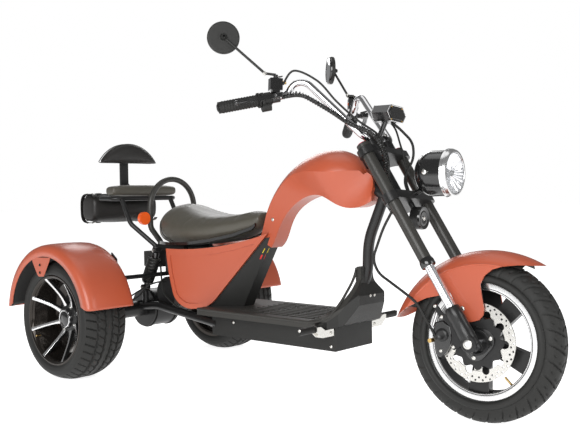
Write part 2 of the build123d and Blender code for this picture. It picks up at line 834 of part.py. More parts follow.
def arch_solid(radius, half, skirt, sheet, roll, from_deg, to_deg):
    """A crowned sheet with skirts and rolled edges, turned about the Y axis between two angles up from +X."""
    outer_arc = ThreePointArc((-half, radius - skirt), (0, radius), (half, radius - skirt))
    inner_arc = ThreePointArc((-half + sheet, radius - skirt), (0, radius - sheet), (half - sheet, radius - skirt))
    ends = [Line(outer_arc @ 1, inner_arc @ 1), Line(inner_arc @ 0, outer_arc @ 0)]
    profile = make_face(Curve() + [outer_arc, inner_arc] + ends)
    for side in (-1, 1):
        profile = profile + Pos(side * (half - sheet / 2), radius - skirt) * Circle(roll)
    face = Plane(origin=(0, 0, 0), x_dir=(0, 1, 0), z_dir=(1, 0, 0)) * profile
    solid = revolve(face, axis=Axis((0, 0, 0), (0, -1, 0)), revolution_arc=to_deg - from_deg)
    return solid.rotate(Axis((0, 0, 0), (0, -1, 0)), from_deg - 90)


def fork_slab(outline, low, high):
    """A closed outline in (ahead, height) of the fork, made solid from side = low to side = high."""
    plane = Plane(fork_place(low, 0, 0), x_dir=fork_ahead, z_dir=(0, 1, 0))
    face = plane * make_face(Polyline(*[(ahead, -height) for ahead, height in outline], close=True))
    return extrude(face, amount=high - low)


def fender_ear():
    """The left side plate under the front fender's skirt, with the pad that meets the slider."""
    low, high = fender_half - fender_sheet, fender_half
    skirt = rod(fork_place(low - overrun, *fender_centre), fork_place(high + overrun, *fender_centre),
                fender_radius - fender_skirt + fender_sheet / 2)
    pad = rod(fork_place(fender_half, 0, fender_pad_height),
              fork_place(leg_half_spacing - slider_radius - running_gap, 0, fender_pad_height), fender_pad_radius)
    return (fork_slab(fender_ear_outline, low, high) & skirt) + pad


def front_fender():
    centre = fork_place(0, *fender_centre)
    shell = arch_solid(fender_radius, fender_half, fender_skirt, fender_sheet, fender_roll, *fender_span_deg)
    shell = shell.rotate(Axis((0, 0, 0), (0, -1, 0)), rake_deg).moved(Location(centre))
    for cut in (fender_front_cut, fender_rear_cut):
        shell = shell - fork_slab(cut, -fender_half * 2, fender_half * 2)
    ear = fender_ear()
    return turned(shell + ear + mirrored(ear))


def front_caliper():
    """Brake caliper over the disc's rear edge, with its bracket to the right lug."""
    centre = fork_place(-disc_offset + disc_thick / 2, -disc_radius - caliper_gap, caliper_height)
    plane = Plane(centre, x_dir=fork_ahead, z_dir=(0, 1, 0))
    wide, deep, tall = caliper_size
    body = extrude(plane * Rectangle(wide, tall), amount=deep / 2, both=True)
    slot = extrude(plane * Rectangle(wide + overrun * 2, tall + overrun * 2), amount=disc_thick, both=True)
    disc_room = rod(fork_place(-disc_offset - disc_thick, 0, 0), fork_place(-disc_offset + disc_thick * 2, 0, 0),
                    disc_radius + overrun)
    body = body - (slot & disc_room)
    start = fork_place(-disc_offset - deep / 2, wide / 4 - disc_radius - caliper_gap, caliper_height)
    bracket = rod(start + Vector(0, disc_thick, 0), fork_place(-leg_half_spacing + lug_radius / 2, -lug_radius / 2, 0),
                  lamp_bracket)
    lug = rod(fork_place(-leg_half_spacing, 0, lug_low), fork_place(-leg_half_spacing, 0, slider_foot),
              lug_radius + running_gap)
    return turned(body + (bracket - lug))


def brake_hose():
    """Front brake hose, from the lower clamp down behind the right leg to the caliper."""
    wide, deep, tall = caliper_size
    centre = fork_place(-disc_offset + disc_thick / 2, -disc_radius - caliper_gap, caliper_height)
    plane = Plane(centre, x_dir=fork_ahead, z_dir=(0, 1, 0))
    room = extrude(plane * Rectangle(wide + running_gap * 2, tall + running_gap * 2), amount=deep, both=True)
    return turned(soft_cord(brake_hose_route, hose_radius) - room)


def control_loom():
    """Spiral-wrapped loom from the right switches, down past the clamps to the lower one."""
    _, along = grip_line()
    middle = on_bar(pod_back) - Vector(0, 0, pod_drop)
    room = rod(middle - along * pod_width, middle + along * pod_width, pod_radius * pod_lobe_share + running_gap)
    return turned(soft_cord(loom_route, loom_radius) - mirrored(room))


def display_lead():
    """The instrument pod's lead, looped ahead of the clamps and back to the lower one."""
    deep, wide, tall = display_size
    centre = fork_place(*display_centre)
    low, high = centre.Z - tall / 2 - running_gap, centre.Z + tall
    room = block((centre.X - deep, centre.X + deep), (-wide, wide), (low, high))
    return turned(soft_cord(lead_route, lead_radius) - room)


# Chassis
head_low = lower_clamp_high + head_gap
head_high = upper_clamp_low - head_gap
tank_along = (tank_rear, tank_front)
tank_up = (tank_low, tank_high)


def flat_route(points):
    return [(x, 0, z) for x, z in points]


def backbone():
    foot = (box_rear + backbone_foot_ahead, deck_height - deck_thick)
    points = [at_share(share, tank_along, tank_up) for share in backbone_share] + [foot]
    return flat_route(points)


def downtube():
    return flat_route([downtube_top, downtube_knee, downtube_low, (downtube_foot_x, deck_height - deck_wall)])


def head_tube(extra, radius):
    low, high = fork_place(0, -stem_offset, head_low - extra), fork_place(0, -stem_offset, head_high + extra)
    return rod(low, high, radius)


def main_frame():
    """Head tube, backbone under the tank cover and downtube, welded together."""
    frame = head_tube(0, head_radius) + bent_tube(backbone(), backbone_bends, backbone_radius)
    frame = frame + bent_tube(downtube(), downtube_bends, downtube_radius)
    under = block((box_rear - deck_half_width, box_front + deck_half_width), (-box_half_width, box_half_width),
                  (box_floor, deck_height - deck_thick))
    return frame - head_tube(overrun, stem_radius + bearing_gap) - under


def cover_section(along, height, lean, half, drop, deep, foot):
    """One section of the cover: rounded back, creased shoulders and flat sides."""
    turn = math.radians(lean)
    x, z = at_share((along, height), tank_along, tank_up)
    plane = Plane((x, 0, z), x_dir=(0, 1, 0), z_dir=(math.cos(turn), 0, -math.sin(turn)))
    half, drop, deep = tank_half * half, tank_deep * drop, tank_deep * deep
    corners = [(half, -drop), (half * foot, -deep), (-half * foot, -deep), (-half, -drop)]
    back = ThreePointArc((-half, -drop), (0, 0), (half, -drop))
    return plane * make_face(Curve() + [back, Polyline(*corners)])


def cover_body():
    return loft([cover_section(*row) for row in tank_share])


def frame_room():
    """The space that the frame's tubes need inside what covers them."""
    tunnel = bent_tube(backbone(), backbone_bends, backbone_radius + running_gap)
    down = bent_tube(downtube(), downtube_bends, downtube_radius + running_gap)
    return tunnel + head_tube(overrun, head_radius + running_gap) + down


def clamp_room():
    """The space that the upper clamp's plate needs as the fork turns from stop to stop."""
    room = clamp_plate(upper_clamp_low - overrun, upper_clamp_high + overrun, overrun)
    return joined(*[room.rotate(stem_axis, angle) for angle in clamp_swing_deg])


def tank_cover():
    return cover_body() - frame_room() - clamp_room()


def battery_box():
    top = deck_height - deck_thick - running_gap
    return block((box_rear, box_front), (-box_half_width, box_half_width), (box_floor, top))


def deck_arc(low, top_x):
    """One face of the deck's upturned front, from its level part to its top edge."""
    along, up = (deck_curve_start, top_x), (low, deck_top_height)
    shares = ((0, 0), deck_curve_share, (1, 1))
    return ThreePointArc(*[at_share(share, along, up) for share in shares])


def deck_ribs():
    """Raised rows along the level part of the deck, each in short lengths."""
    ribs = []
    for row in range(rib_rows):
        y = (row - (rib_rows - 1) / 2) * rib_pitch
        for number in range(rib_segments):
            x = rib_start + number * rib_step
            ribs.append(block((x, x + rib_length), (y - rib_width / 2, y + rib_width / 2),
                              (deck_height - rib_high, deck_height + rib_high)))
    return ribs


def floorboard():
    flat = block((deck_rear, deck_curve_start), (-deck_half_width, deck_half_width),
                 (deck_height - deck_thick, deck_height))
    top = deck_arc(deck_height, deck_top_x - deck_wall)
    low = deck_arc(deck_height - deck_thick, deck_top_x)
    outline = Curve() + [top, Line(top @ 1, low @ 1), low, Line(low @ 0, top @ 0)]
    wall = slab(outline, -deck_half_width, deck_half_width) & flare_outline()
    return flat + wall + deck_ribs() - frame_room() - peg_pockets()


def flare_outline():
    """The leg shield's front view cut with its plan: wide at the deck, narrow at the downtube."""
    rise = deck_top_height - deck_height
    half = [(deck_half_width * wide, deck_height + rise * high) for wide, high in flare_share]
    front = half + [(-y, z) for y, z in half[::-1]]
    view = extrude(make_face(Plane.YZ * Polyline(*front, close=True)), amount=wheelbase, dir=(1, 0, 0))
    reach = (deck_curve_start, deck_top_x + cover_nose)
    edge = [at_share(share, reach, (0, deck_half_width)) for share in shield_plan_share]
    plan = Polyline(*(edge + [(x, -y) for x, y in edge[::-1]]), close=True)
    return view & extrude(make_face(plan), amount=lamp_height)


def front_cover():
    """Flared cover ahead of the deck's curve, down to the front of the battery box."""
    back = deck_arc(deck_height - deck_thick, deck_top_x)
    along, up = (deck_top_x, deck_top_x + cover_nose), (deck_height, deck_top_height)
    front = [at_share(share, along, up) for share in cover_front_share]
    outline = Curve() + [back, Polyline(back @ 1, *front[::-1], (box_front, deck_height - deck_thick), back @ 0)]
    solid = slab(outline, -deck_half_width, deck_half_width).moved(Location((running_gap, 0, 0)))
    return (solid & flare_outline()) - frame_room() - peg_pockets()


def panel_face(rear, front, low, high):
    """The side panel's leaf outline, drawn in the given spans."""
    along, up = (rear, front), (low, high)
    start = at_share((1, 1), along, up)
    edges = []
    for middle, end in panel_share:
        finish = at_share(end, along, up)
        edges.append(ThreePointArc(start, at_share(middle, along, up), finish))
        start = finish
    return Curve() + edges + [Line(start, at_share((1, 1), along, up))]


def side_panel():
    """The left panel, with its pressed field; the right one is its mirror image."""
    panel = slab(panel_face(panel_rear, panel_front, panel_low, panel_high), 0, panel_thick)
    field = panel_face(panel_rear + panel_flange, panel_front - panel_flange * 3, panel_low + panel_flange,
                       panel_high - panel_flange * 2)
    panel = panel - slab(field, panel_thick - panel_press, panel_thick + overrun)
    hinge = Axis((panel_front, 0, 0), (0, 0, 1))
    return panel.rotate(hinge, -panel_swing_deg).moved(Location((0, panel_tip_half, 0)))


def belly_section(height, nose, kink, kink_half):
    """A level section of the belly: its blunt nose, then the sides that spread towards the rear."""
    half = [(nose, belly_nose_half), (kink, kink_half), (belly_rear, deck_half_width)]
    corners = half + [(x, -y) for x, y in half[::-1]]
    return Plane((0, 0, height)) * make_face(Polyline(*corners, close=True))


def belly_panel():
    """Dark wedge between the side panels, from the seat's nose to the deck."""
    low = belly_section(deck_height + running_gap, belly_nose_low, belly_kink_low, belly_kink_low_half)
    high = belly_section(belly_top, belly_nose_high, belly_kink_high, belly_kink_high_half)
    core = loft([low, high], ruled=True)
    over = Polyline((0, belly_rear_top), (belly_nose_high, belly_top), (belly_nose_high, lamp_height),
                    (0, lamp_height), close=True)
    swing = Axis((panel_front, panel_tip_half, 0), (0, 0, 1))
    reach = block((-panel_front, panel_front), (panel_tip_half - running_gap, panel_front), (0, lamp_height))
    cutter = reach.rotate(swing, -panel_swing_deg)
    core = core - slab(over, -deck_half_width, deck_half_width) - cutter - mirrored(cutter)
    return core - frame_room() - cover_body()


def seat():
    """Dished saddle: its side view, cut with its plan and its crowned front view."""
    along, up = (seat_rear, seat_front), (seat_low, seat_high)
    edges = [ThreePointArc(*[at_share(share, along, up) for share in arc]) for arc in seat_side_share]
    edges.append(Line(edges[-1] @ 1, edges[0] @ 0))
    side = slab(Curve() + edges, -seat_half, seat_half)
    plan = [ThreePointArc(*[at_share(share, along, (0, seat_half)) for share in arc]) for arc in seat_plan_share]
    neck = [at_share(share, along, (0, seat_half)) for share in seat_neck_share]
    half = make_face(Curve() + plan + [Polyline(*neck, plan[0] @ 0)])
    prism = extrude(half + mirror(half, about=Plane.XZ), amount=lamp_height)
    shoulder = seat_high - seat_crown
    crown = Curve() + [ThreePointArc((-seat_half, shoulder), (0, seat_high), (seat_half, shoulder)),
                       Polyline((seat_half, shoulder), (seat_half, 0), (-seat_half, 0), (-seat_half, shoulder))]
    front = extrude(Plane.YZ * make_face(crown), amount=lamp_rear, dir=(1, 0, 0))
    return side & prism & front


# Tail
def hoop_route():
    low = rail_height + rail_radius + running_gap
    wide, high = hoop_half - hoop_radius, hoop_top - hoop_radius
    half = [(rail_half, low), (rail_half, low + hoop_foot), (wide, low + hoop_flare), (wide, high)]
    right = [(-side, z) for side, z in half[::-1]]
    return [(hoop_x, side, z) for side, z in half + right]


def grab_hoop():
    bends = [hoop_foot_bend, hoop_bend, hoop_half - hoop_radius - running_gap]
    return bent_tube(hoop_route(), bends + bends[::-1], hoop_radius)


def rack_bar(x, half, radius):
    return rod((x, -half, rack_height), (x, half, rack_height), radius)


def tail_rails():
    """Upper tail rails, their cross tube and the struts up to the rack."""
    parts = []
    for side in (-1, 1):
        start = (rail_rear, side * rail_half, rail_height)
        parts.append(rod((rail_front, side * rail_half, rail_height), start, rail_radius))
        knee = (strut_knee[0], side * strut_half, rail_height + strut_knee[1])
        foot = (rail_rear + rail_radius, side * rail_half, rail_height)
        strut = bent_tube([foot, knee, (rack_front, side * strut_half, rack_height)], [strut_bend], strut_radius)
        parts.append(strut - rack_bar(rack_front, rack_half, rack_tube + running_gap))
    parts.append(rod((hoop_x, -rail_half, rail_height), (hoop_x, rail_half, rail_height), rail_radius))
    return joined(*parts)


def rear_rack():
    half = [(rack_front, 0, rack_height), (rack_front, rack_half, rack_height), (rack_rear, rack_half, rack_height),
            (rack_rear, 0, rack_height)]
    loop = bent_tube(half, [rack_bend, rack_bend], rack_tube)
    loop = loop + mirrored(loop)
    for share in rack_rung_share:
        loop = loop + rack_bar(rack_front + (rack_rear - rack_front) * share, rack_half, rack_rung)
    return loop


def backrest_post():
    """A flat post, cranked back from the rack's rear tube."""
    foot = rack_height + rack_tube + running_gap
    thick = post_thick / 2
    low, knee, high = rack_height + post_knee_low, rack_height + post_knee_high, rack_height + post_high
    front, rear = rack_rear + post_foot, rack_rear + post_foot - post_thick
    outline = Polyline((post_x - thick, high), (post_x + thick, high), (post_x + thick, knee + thick), (front, low),
                       (front, foot), (rear, foot), (rear, low - thick), (post_x - thick, knee - thick), close=True)
    return slab(outline, -post_width / 2, post_width / 2)


def backrest_pad():
    low, high = rack_height + pad_low, rack_height + pad_high
    outline = Curve() + [Line((-pad_half, low), (pad_half, low)),
                         ThreePointArc((pad_half, low), (0, high), (-pad_half, low))]
    pad = extrude(make_face(Plane.YZ * outline), amount=pad_thick, dir=(1, 0, 0))
    return pad.moved(Location((post_x + post_thick / 2 + running_gap, 0, 0)))


def rack_cushion():
    low = rack_height + rack_tube + running_gap
    body = block((roll_rear, roll_front), (-roll_half, roll_half), (low, low + roll_high))
    return fillet(body.edges().filter_by(Axis.Y).group_by(Axis.Z)[-1], roll_round)


def tail_bag():
    body = block((bag_rear, rack_rear - rack_tube - running_gap), (-bag_half, bag_half),
                 (rack_height - bag_drop, rack_height + bag_rise))
    return fillet(body.edges().filter_by(Axis.Y), bag_round)


def turn_lamps():
    """Round lamps that face the rear, each on an arm from the hoop."""
    y, z = hoop_half + lamp_stand + turn_lamp_radius, rail_height + turn_lamp_rise
    rear = hoop_x + lamp_stand
    lens = rod((rear, y, z), (rear + turn_lamp_deep, y, z), turn_lamp_radius)
    arm = rod((hoop_x, hoop_half - running_gap, z), (rear + turn_lamp_deep / 2, y, z), turn_arm_radius)
    return both(lens + (arm - grab_hoop()))


def tail_lamp():
    """A flat lamp on the bag's rear face."""
    top = rack_height - tail_lamp_drop
    return block((bag_rear - tail_lamp_deep, bag_rear - running_gap), (-tail_lamp_half, tail_lamp_half),
                 (top - tail_lamp_high, top))


def shocks():
    """Coil-over shocks outside the tail rails, down to the swing arms."""
    start = Vector(shock_top[0], shock_y, rail_height - shock_top[1])
    end = Vector(shock_foot[0], shock_y, rear_tyre_radius + shock_foot[1])
    along = (end - start).normalized()
    body = rod(start, end, shock_rod_radius)
    for number in range(coil_turns):
        middle = start + (end - start) * (coil_from_share + number * coil_step_share)
        body = body + rod(middle, middle + along * coil_wire, shock_radius)
    inner = rail_half + rail_radius + running_gap
    eye = rod((start.X, inner, start.Z), (start.X, shock_y + shock_eye_half, start.Z), shock_eye_radius)
    foot = rod((end.X, shock_y - shock_eye_half, end.Z), (end.X, shock_y + shock_eye_half, end.Z), shock_eye_radius)
    return both(body + eye + foot)


def control_box():
    """Controller case, hung from the tail rails by a flange."""
    low = rail_height - rail_radius - running_gap
    case = block((case_rear, rail_rear + overrun), (-case_half, case_half), (low - case_drop, low - case_flange))
    flange = block((rail_rear, rail_rear + case_flange), (-rail_half, rail_half), (low - case_flange * 2, low))
    return case + flange


def swing_arm(side):
    """One arm from the axle to the battery box, with the post that the shock stands on."""
    z = rear_tyre_radius
    points = [(0, side * arm_half, z + arm_rise), (arm_knee_x, side * arm_half, z + arm_knee_rise),
              (box_rear + arm_radius, side * arm_half, z - arm_fall)]
    post = rod((shock_foot[0], side * arm_half, z + arm_radius),
               (shock_foot[0], side * arm_half, z + shock_foot[1] - shock_eye_radius), shock_eye_radius)
    return bent_tube(points, [arm_bend], arm_radius) + post


def axle_housing():
    z = rear_tyre_radius
    reach = rear_half_track + axle_end
    tube = rod((0, -axle_tube_half, z), (0, axle_tube_half, z), axle_tube_radius)
    case = rod((0, -gear_case_half, z), (0, gear_case_half, z), gear_case_radius)
    shaft = rod((0, -reach, z), (0, reach, z), rear_axle_radius)
    room = block((box_rear, box_front), (-box_half_width, box_half_width), (0, deck_height))
    return joined(tube, case, shaft, swing_arm(-1), swing_arm(1)) - room


def drive_motor():
    half = arm_half - arm_radius - running_gap
    x, z = motor_place
    room = gear_case_half + overrun
    case = rod((0, -room, rear_tyre_radius), (0, room, rear_tyre_radius), gear_case_radius + running_gap)
    return rod((x, -half, z), (x, half, z), motor_radius) - case


def rear_fender():
    """The left rear fender; the right one is its mirror image."""
    radius = rear_tyre_radius + rear_fender_gap
    shell = arch_solid(radius, rear_fender_half, rear_fender_skirt, rear_fender_sheet, rear_fender_roll,
                       *rear_fender_span_deg)
    return shell.moved(Location((rear_fender_centre[0], rear_fender_y, rear_tyre_radius + rear_fender_centre[1])))


def fender_bar():
    """Cross bar and upright stays that carry both rear fenders, hung from the tail rails."""
    reach = rear_fender_y - rear_fender_half + rear_fender_sheet / 2 - rear_fender_roll - running_gap
    z = rear_tyre_radius + bar_rise
    bar = rod((hoop_x, -reach, z), (hoop_x, reach, z), bar_tube)
    outline = [at_share(share, (hoop_x - stay_rear, hoop_x + stay_front), (z - bar_tube, z + stay_high))
               for share in stay_share]
    stay = slab(Polyline(*outline, close=True), reach - stay_thick, reach)
    hanger = rod((hoop_x, hanger_half, z), (hoop_x, hanger_half, rail_height), bar_tube)
    hanger = hanger - rod((hoop_x, 0, rail_height), (hoop_x, rail_half, rail_height), rail_radius + running_gap)
    return joined(bar, stay, mirrored(stay), hanger, mirrored(hanger))


# Footpegs, each on a clevis that lets it fold up
def peg_slot():
    """The room between the clevis ears, in which the peg's tongue turns."""
    half = peg_tongue_half + peg_ear_gap
    reach = peg_tongue_radius + overrun
    return block((peg_x - half, peg_x + half), (peg_pivot[0] - reach, peg_pivot[0] + reach * 2),
                 (peg_pivot[1] - reach * 2, peg_pivot[1] + reach * 2))


def footpeg():
    y, z = peg_pivot
    disc = rod((peg_x - peg_tongue_half, y, z), (peg_x + peg_tongue_half, y, z), peg_tongue_radius)
    neck = block((peg_x - peg_tongue_half, peg_x + peg_tongue_half), (y, y + peg_shoulder),
                 (z - peg_tongue_half, z + peg_tongue_half))
    peg = rod((peg_x, y + peg_shoulder, z), (peg_x, y + peg_shoulder + peg_length, z), peg_radius)
    hole = rod((peg_x - peg_ear_half, y, z), (peg_x + peg_ear_half, y, z), peg_pin_radius + bearing_gap)
    return joined(disc, neck, peg) - hole


def peg_brackets():
    """Clevises on the battery box's sides, with the pins that the pegs fold about."""
    y, z = peg_pivot
    face = make_face(Plane.YZ * Polyline(*peg_ear_outline, close=True))
    ears = extrude(face, amount=peg_ear_half, both=True).moved(Location((peg_x, 0, 0))) - peg_slot()
    pin = rod((peg_x - peg_ear_half, y, z), (peg_x + peg_ear_half, y, z), peg_pin_radius)
    return both(ears + pin)


def peg_pockets():
    pocket = block(*peg_pocket)
    return pocket + mirrored(pocket)


root_nodes = {
    "main_frame": main_frame,
    "tank_cover": tank_cover,
    "battery_box": battery_box,
    "floorboard": floorboard,
    "front_cover": front_cover,
    "side_panel_left": side_panel,
    "side_panel_right": lambda: mirrored(side_panel()),
    "belly_panel": belly_panel,
    "seat": seat,
    "grab_hoop": grab_hoop,
    "tail_rails": tail_rails,
    "rear_rack": rear_rack,
    "backrest_post": backrest_post,
    "backrest_pad": backrest_pad,
    "rack_cushion": rack_cushion,
    "tail_bag": tail_bag,
    "turn_lamps": turn_lamps,
    "tail_lamp": tail_lamp,
    "shocks": shocks,
    "control_box": control_box,
    "axle_housing": axle_housing,
    "drive_motor": drive_motor,
    "rear_fender_left": rear_fender,
    "rear_fender_right": lambda: mirrored(rear_fender()),
    "fender_bar": fender_bar,
    "peg_brackets": peg_brackets,
}
fork_nodes = {
    "fork_tubes": fork_tubes,
    "fork_sliders": fork_sliders,
    "lower_clamp": lower_clamp,
    "upper_clamp": upper_clamp,
    "handlebar": handlebar,
    "grips": grips,
    "brake_controls": brake_controls,
    "switch_pods": switch_pods,
    "mirrors": mirrors,
    "display_pod": display_pod,
    "headlight_bucket": headlight_bucket,
    "headlight_ring": headlight_ring,
    "headlight_lens": headlight_lens,
    "horn": horn,
    "front_fender": front_fender,
    "front_caliper": front_caliper,
    "brake_hose": brake_hose,
    "control_loom": control_loom,
    "display_lead": display_lead,
}
moving_nodes = {
    "front_tyre": front_tyre,
    "front_rim": front_rim,
    "brake_disc": brake_disc,
    "rear_tyre_left": lambda: rear_tyre(1),
    "rear_tyre_right": lambda: rear_tyre(-1),
    "rear_rim_right": rear_rim,
    "rear_rim_left": lambda: mirrored(rear_rim()),
    "footpeg_left": footpeg,
    "footpeg_right": lambda: mirrored(footpeg()),
}

os.makedirs("parts", exist_ok=True)
shapes = {name: make() for name, make in {**root_nodes, **fork_nodes, **moving_nodes}.items()}
outline = Compound([part for shape in shapes.values() for part in shape.solids()]).bounding_box()
middle = (outline.min + outline.max) / 2
shift = Location((-middle.X, -middle.Y, 0))
for name, shape in shapes.items():
    print(name, type(shape).__name__, len(shape.solids()), round(shape.volume))
    export_step(shape.moved(shift), f"parts/{name}.step")
print("origin shift", round(-middle.X, 3), round(-middle.Y, 3))
print("size", outline.size)
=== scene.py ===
# %% [markdown]
# An electric trike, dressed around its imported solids. Lengths are in metres: +X is forward, +Y is
# the rider's left, +Z is up and the floor is at Z = 0. The solids give every place, and this script
# adds the finishes, the soft goods and the small things that make them look real.

# %% The frame
import json
import math

import bmesh
import bpy
import numpy as np
from mathutils import Matrix, Vector


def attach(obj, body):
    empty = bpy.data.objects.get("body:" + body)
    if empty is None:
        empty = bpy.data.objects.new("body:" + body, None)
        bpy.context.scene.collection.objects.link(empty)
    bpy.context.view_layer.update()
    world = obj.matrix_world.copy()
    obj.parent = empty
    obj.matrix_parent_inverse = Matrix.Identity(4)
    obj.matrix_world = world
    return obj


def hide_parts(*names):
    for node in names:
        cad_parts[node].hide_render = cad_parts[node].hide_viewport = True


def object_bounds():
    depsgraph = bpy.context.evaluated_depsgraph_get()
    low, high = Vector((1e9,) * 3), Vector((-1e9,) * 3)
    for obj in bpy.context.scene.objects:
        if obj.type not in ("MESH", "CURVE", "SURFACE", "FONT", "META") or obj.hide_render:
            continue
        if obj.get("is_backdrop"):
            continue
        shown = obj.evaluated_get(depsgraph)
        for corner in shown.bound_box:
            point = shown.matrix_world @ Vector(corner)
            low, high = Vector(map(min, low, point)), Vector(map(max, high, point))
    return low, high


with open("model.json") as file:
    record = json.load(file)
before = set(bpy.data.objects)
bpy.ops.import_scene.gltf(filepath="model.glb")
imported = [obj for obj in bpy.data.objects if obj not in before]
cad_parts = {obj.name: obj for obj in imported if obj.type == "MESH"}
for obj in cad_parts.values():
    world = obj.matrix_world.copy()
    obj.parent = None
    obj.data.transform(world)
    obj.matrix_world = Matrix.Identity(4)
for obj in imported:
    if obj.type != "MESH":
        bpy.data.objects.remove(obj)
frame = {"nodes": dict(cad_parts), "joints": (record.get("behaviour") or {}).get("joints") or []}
cad_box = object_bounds()
nodes = frame["nodes"]
joints = {joint["name"]: joint for joint in frame["joints"]}
MM = 0.001
print("nodes", len(nodes))

# %% [markdown]
# The photograph's camera stands low at the trike's right front. Its place, aim and focal length
# were found by fitting the wheels, lamp and handlebar to the picture, so they are written as they
# were measured: a yaw from +X, a small pitch down and a small roll.

# %% The camera
PICTURE_WIDTH, PICTURE_HEIGHT = 580, 435
CAMERA_PLACE = Vector((1.942664, -2.120611, 0.653289))
CAMERA_YAW, CAMERA_PITCH, CAMERA_ROLL = 2.2772, -0.0265, -0.0146
FOCAL_PIXELS = 847.003
AXIS_RIGHT, AXIS_UP = 26.153, 2.695
SENSOR = 36.0


def camera_axes(yaw, pitch, roll):
    ahead = Vector((math.cos(yaw) * math.cos(pitch), math.sin(yaw) * math.cos(pitch), math.sin(pitch)))
    right = Vector((math.sin(yaw), -math.cos(yaw), 0))
    up = right.cross(ahead)
    side = math.cos(roll) * right + math.sin(roll) * up
    return side, math.cos(roll) * up - math.sin(roll) * right, ahead


def add_camera():
    side, up, ahead = camera_axes(CAMERA_YAW, CAMERA_PITCH, CAMERA_ROLL)
    turn = Matrix((side, up, -ahead)).transposed().to_4x4()
    data = bpy.data.cameras.new("camera")
    data.sensor_width = SENSOR
    data.lens = FOCAL_PIXELS / PICTURE_WIDTH * SENSOR
    data.shift_x = -AXIS_RIGHT / PICTURE_WIDTH
    data.shift_y = -AXIS_UP / PICTURE_WIDTH
    camera = bpy.data.objects.new("camera", data)
    camera.matrix_world = Matrix.Translation(CAMERA_PLACE) @ turn
    bpy.context.collection.objects.link(camera)
    bpy.context.scene.camera = camera
    return camera


camera = add_camera()
print("lens", round(camera.data.lens, 2))

# %% [markdown]
# The picture's ground is pure white with a faint shadow. The floor here is a large pale sheet
# that glows a little, and the world shows white to the camera alone, so that the lamps can stay at
# a plain level. The largest lamp stands low on the camera's side, because the picture's side faces
# are brighter than its top faces, and three softer ones stand round the object.

# %% The studio
scene = bpy.context.scene
scene.view_settings.view_transform = "Standard"
FLOOR_HALF = 30.0


def add_world(level, colour):
    world = bpy.data.worlds.new("studio")
    scene.world = world
    world.use_nodes = True
    tree = world.node_tree
    tree.nodes.clear()
    soft = tree.nodes.new("ShaderNodeBackground")
    soft.inputs["Color"].default_value = (*colour, 1)
    soft.inputs["Strength"].default_value = level
    white = tree.nodes.new("ShaderNodeBackground")
    white.inputs["Color"].default_value = (1, 1, 1, 1)
    path = tree.nodes.new("ShaderNodeLightPath")
    mix = tree.nodes.new("ShaderNodeMixShader")
    out = tree.nodes.new("ShaderNodeOutputWorld")
    tree.links.new(path.outputs["Is Camera Ray"], mix.inputs["Fac"])
    tree.links.new(soft.outputs[0], mix.inputs[1])
    tree.links.new(white.outputs[0], mix.inputs[2])
    tree.links.new(mix.outputs[0], out.inputs["Surface"])


def add_lamp(name, place, size, power, target=(0, 0, 0.4)):
    data = bpy.data.lights.new(name, "AREA")
    data.shape = "RECTANGLE"
    data.size, data.size_y = size
    data.energy = power
    lamp = bpy.data.objects.new(name, data)
    lamp.location = place
    lamp.rotation_euler = (Vector(target) - Vector(place)).to_track_quat("-Z", "Y").to_euler()
    bpy.context.collection.objects.link(lamp)


LAMPS = (
    ("key_lamp", (1.6, -3.6, 1.7), (3.0, 1.8), 145),
    ("fill_lamp", (3.8, 0.8, 1.6), (1.6, 2.0), 38),
    ("back_lamp", (-2.8, 2.6, 2.6), (2.4, 1.6), 45),
    ("top_lamp", (-0.4, 0.2, 4.2), (2.6, 2.6), 22),
)
add_world(0.24, (1.0, 1.0, 1.0))
for name, place, size, power in LAMPS:
    add_lamp(name, place, size, power)
print("lamps", len(LAMPS))

# %% [markdown]
# Places are written in millimetres from the floor point under the rear axle, as the solids are
# drawn. Two helpers turn them into metres in the row frame: one for the chassis, and one for the
# fork, whose own directions are side, ahead of the legs and up along them.

# %% Places
WHEELBASE, FRONT_RADIUS = 1462, 228
RAKE = math.radians(33)
PARKED = math.radians(6.5)
SHIFT = joints["rear_wheel_left_spin"]["pos_m"][0]
REAR_TRACK, REAR_RADIUS = 375, 215


def spot(x, y, z):
    return Vector((x * MM + SHIFT, y * MM, z * MM))


AXLE_STRAIGHT = spot(WHEELBASE, 0, FRONT_RADIUS)
FORK_UP = Vector((-math.sin(RAKE), 0, math.cos(RAKE)))
FORK_AHEAD = Vector((math.cos(RAKE), 0, math.sin(RAKE)))
STEM = AXLE_STRAIGHT - FORK_AHEAD * 35 * MM
PARK = Matrix.Translation(STEM) @ Matrix.Rotation(PARKED, 4, FORK_UP) @ Matrix.Translation(-STEM)
WHEEL_PLACES = {
    "front_wheel": PARK @ Matrix.Translation(AXLE_STRAIGHT),
    "rear_wheel_left": Matrix.Translation(spot(0, REAR_TRACK, REAR_RADIUS)),
    "rear_wheel_right": Matrix.Translation(spot(0, -REAR_TRACK, REAR_RADIUS)),
}


def fork_spot(side, ahead, up):
    place = AXLE_STRAIGHT + Vector((0, side * MM, 0)) + FORK_AHEAD * ahead * MM + FORK_UP * up * MM
    return PARK @ place


def fork_way(side, ahead, up):
    return (fork_spot(side, ahead, up) - fork_spot(0, 0, 0)).normalized()


print("shift", round(SHIFT, 4))

# %% [markdown]
# Every finish is procedural, on Object coordinates. A painted panel is a burnt orange under a
# satin coat; the plastics, rubbers and vinyls are a dark base with a fine grain, and the metals
# differ in roughness. The base values were set against the picture's lit and shaded areas.

# %% Materials
MATERIALS = {}


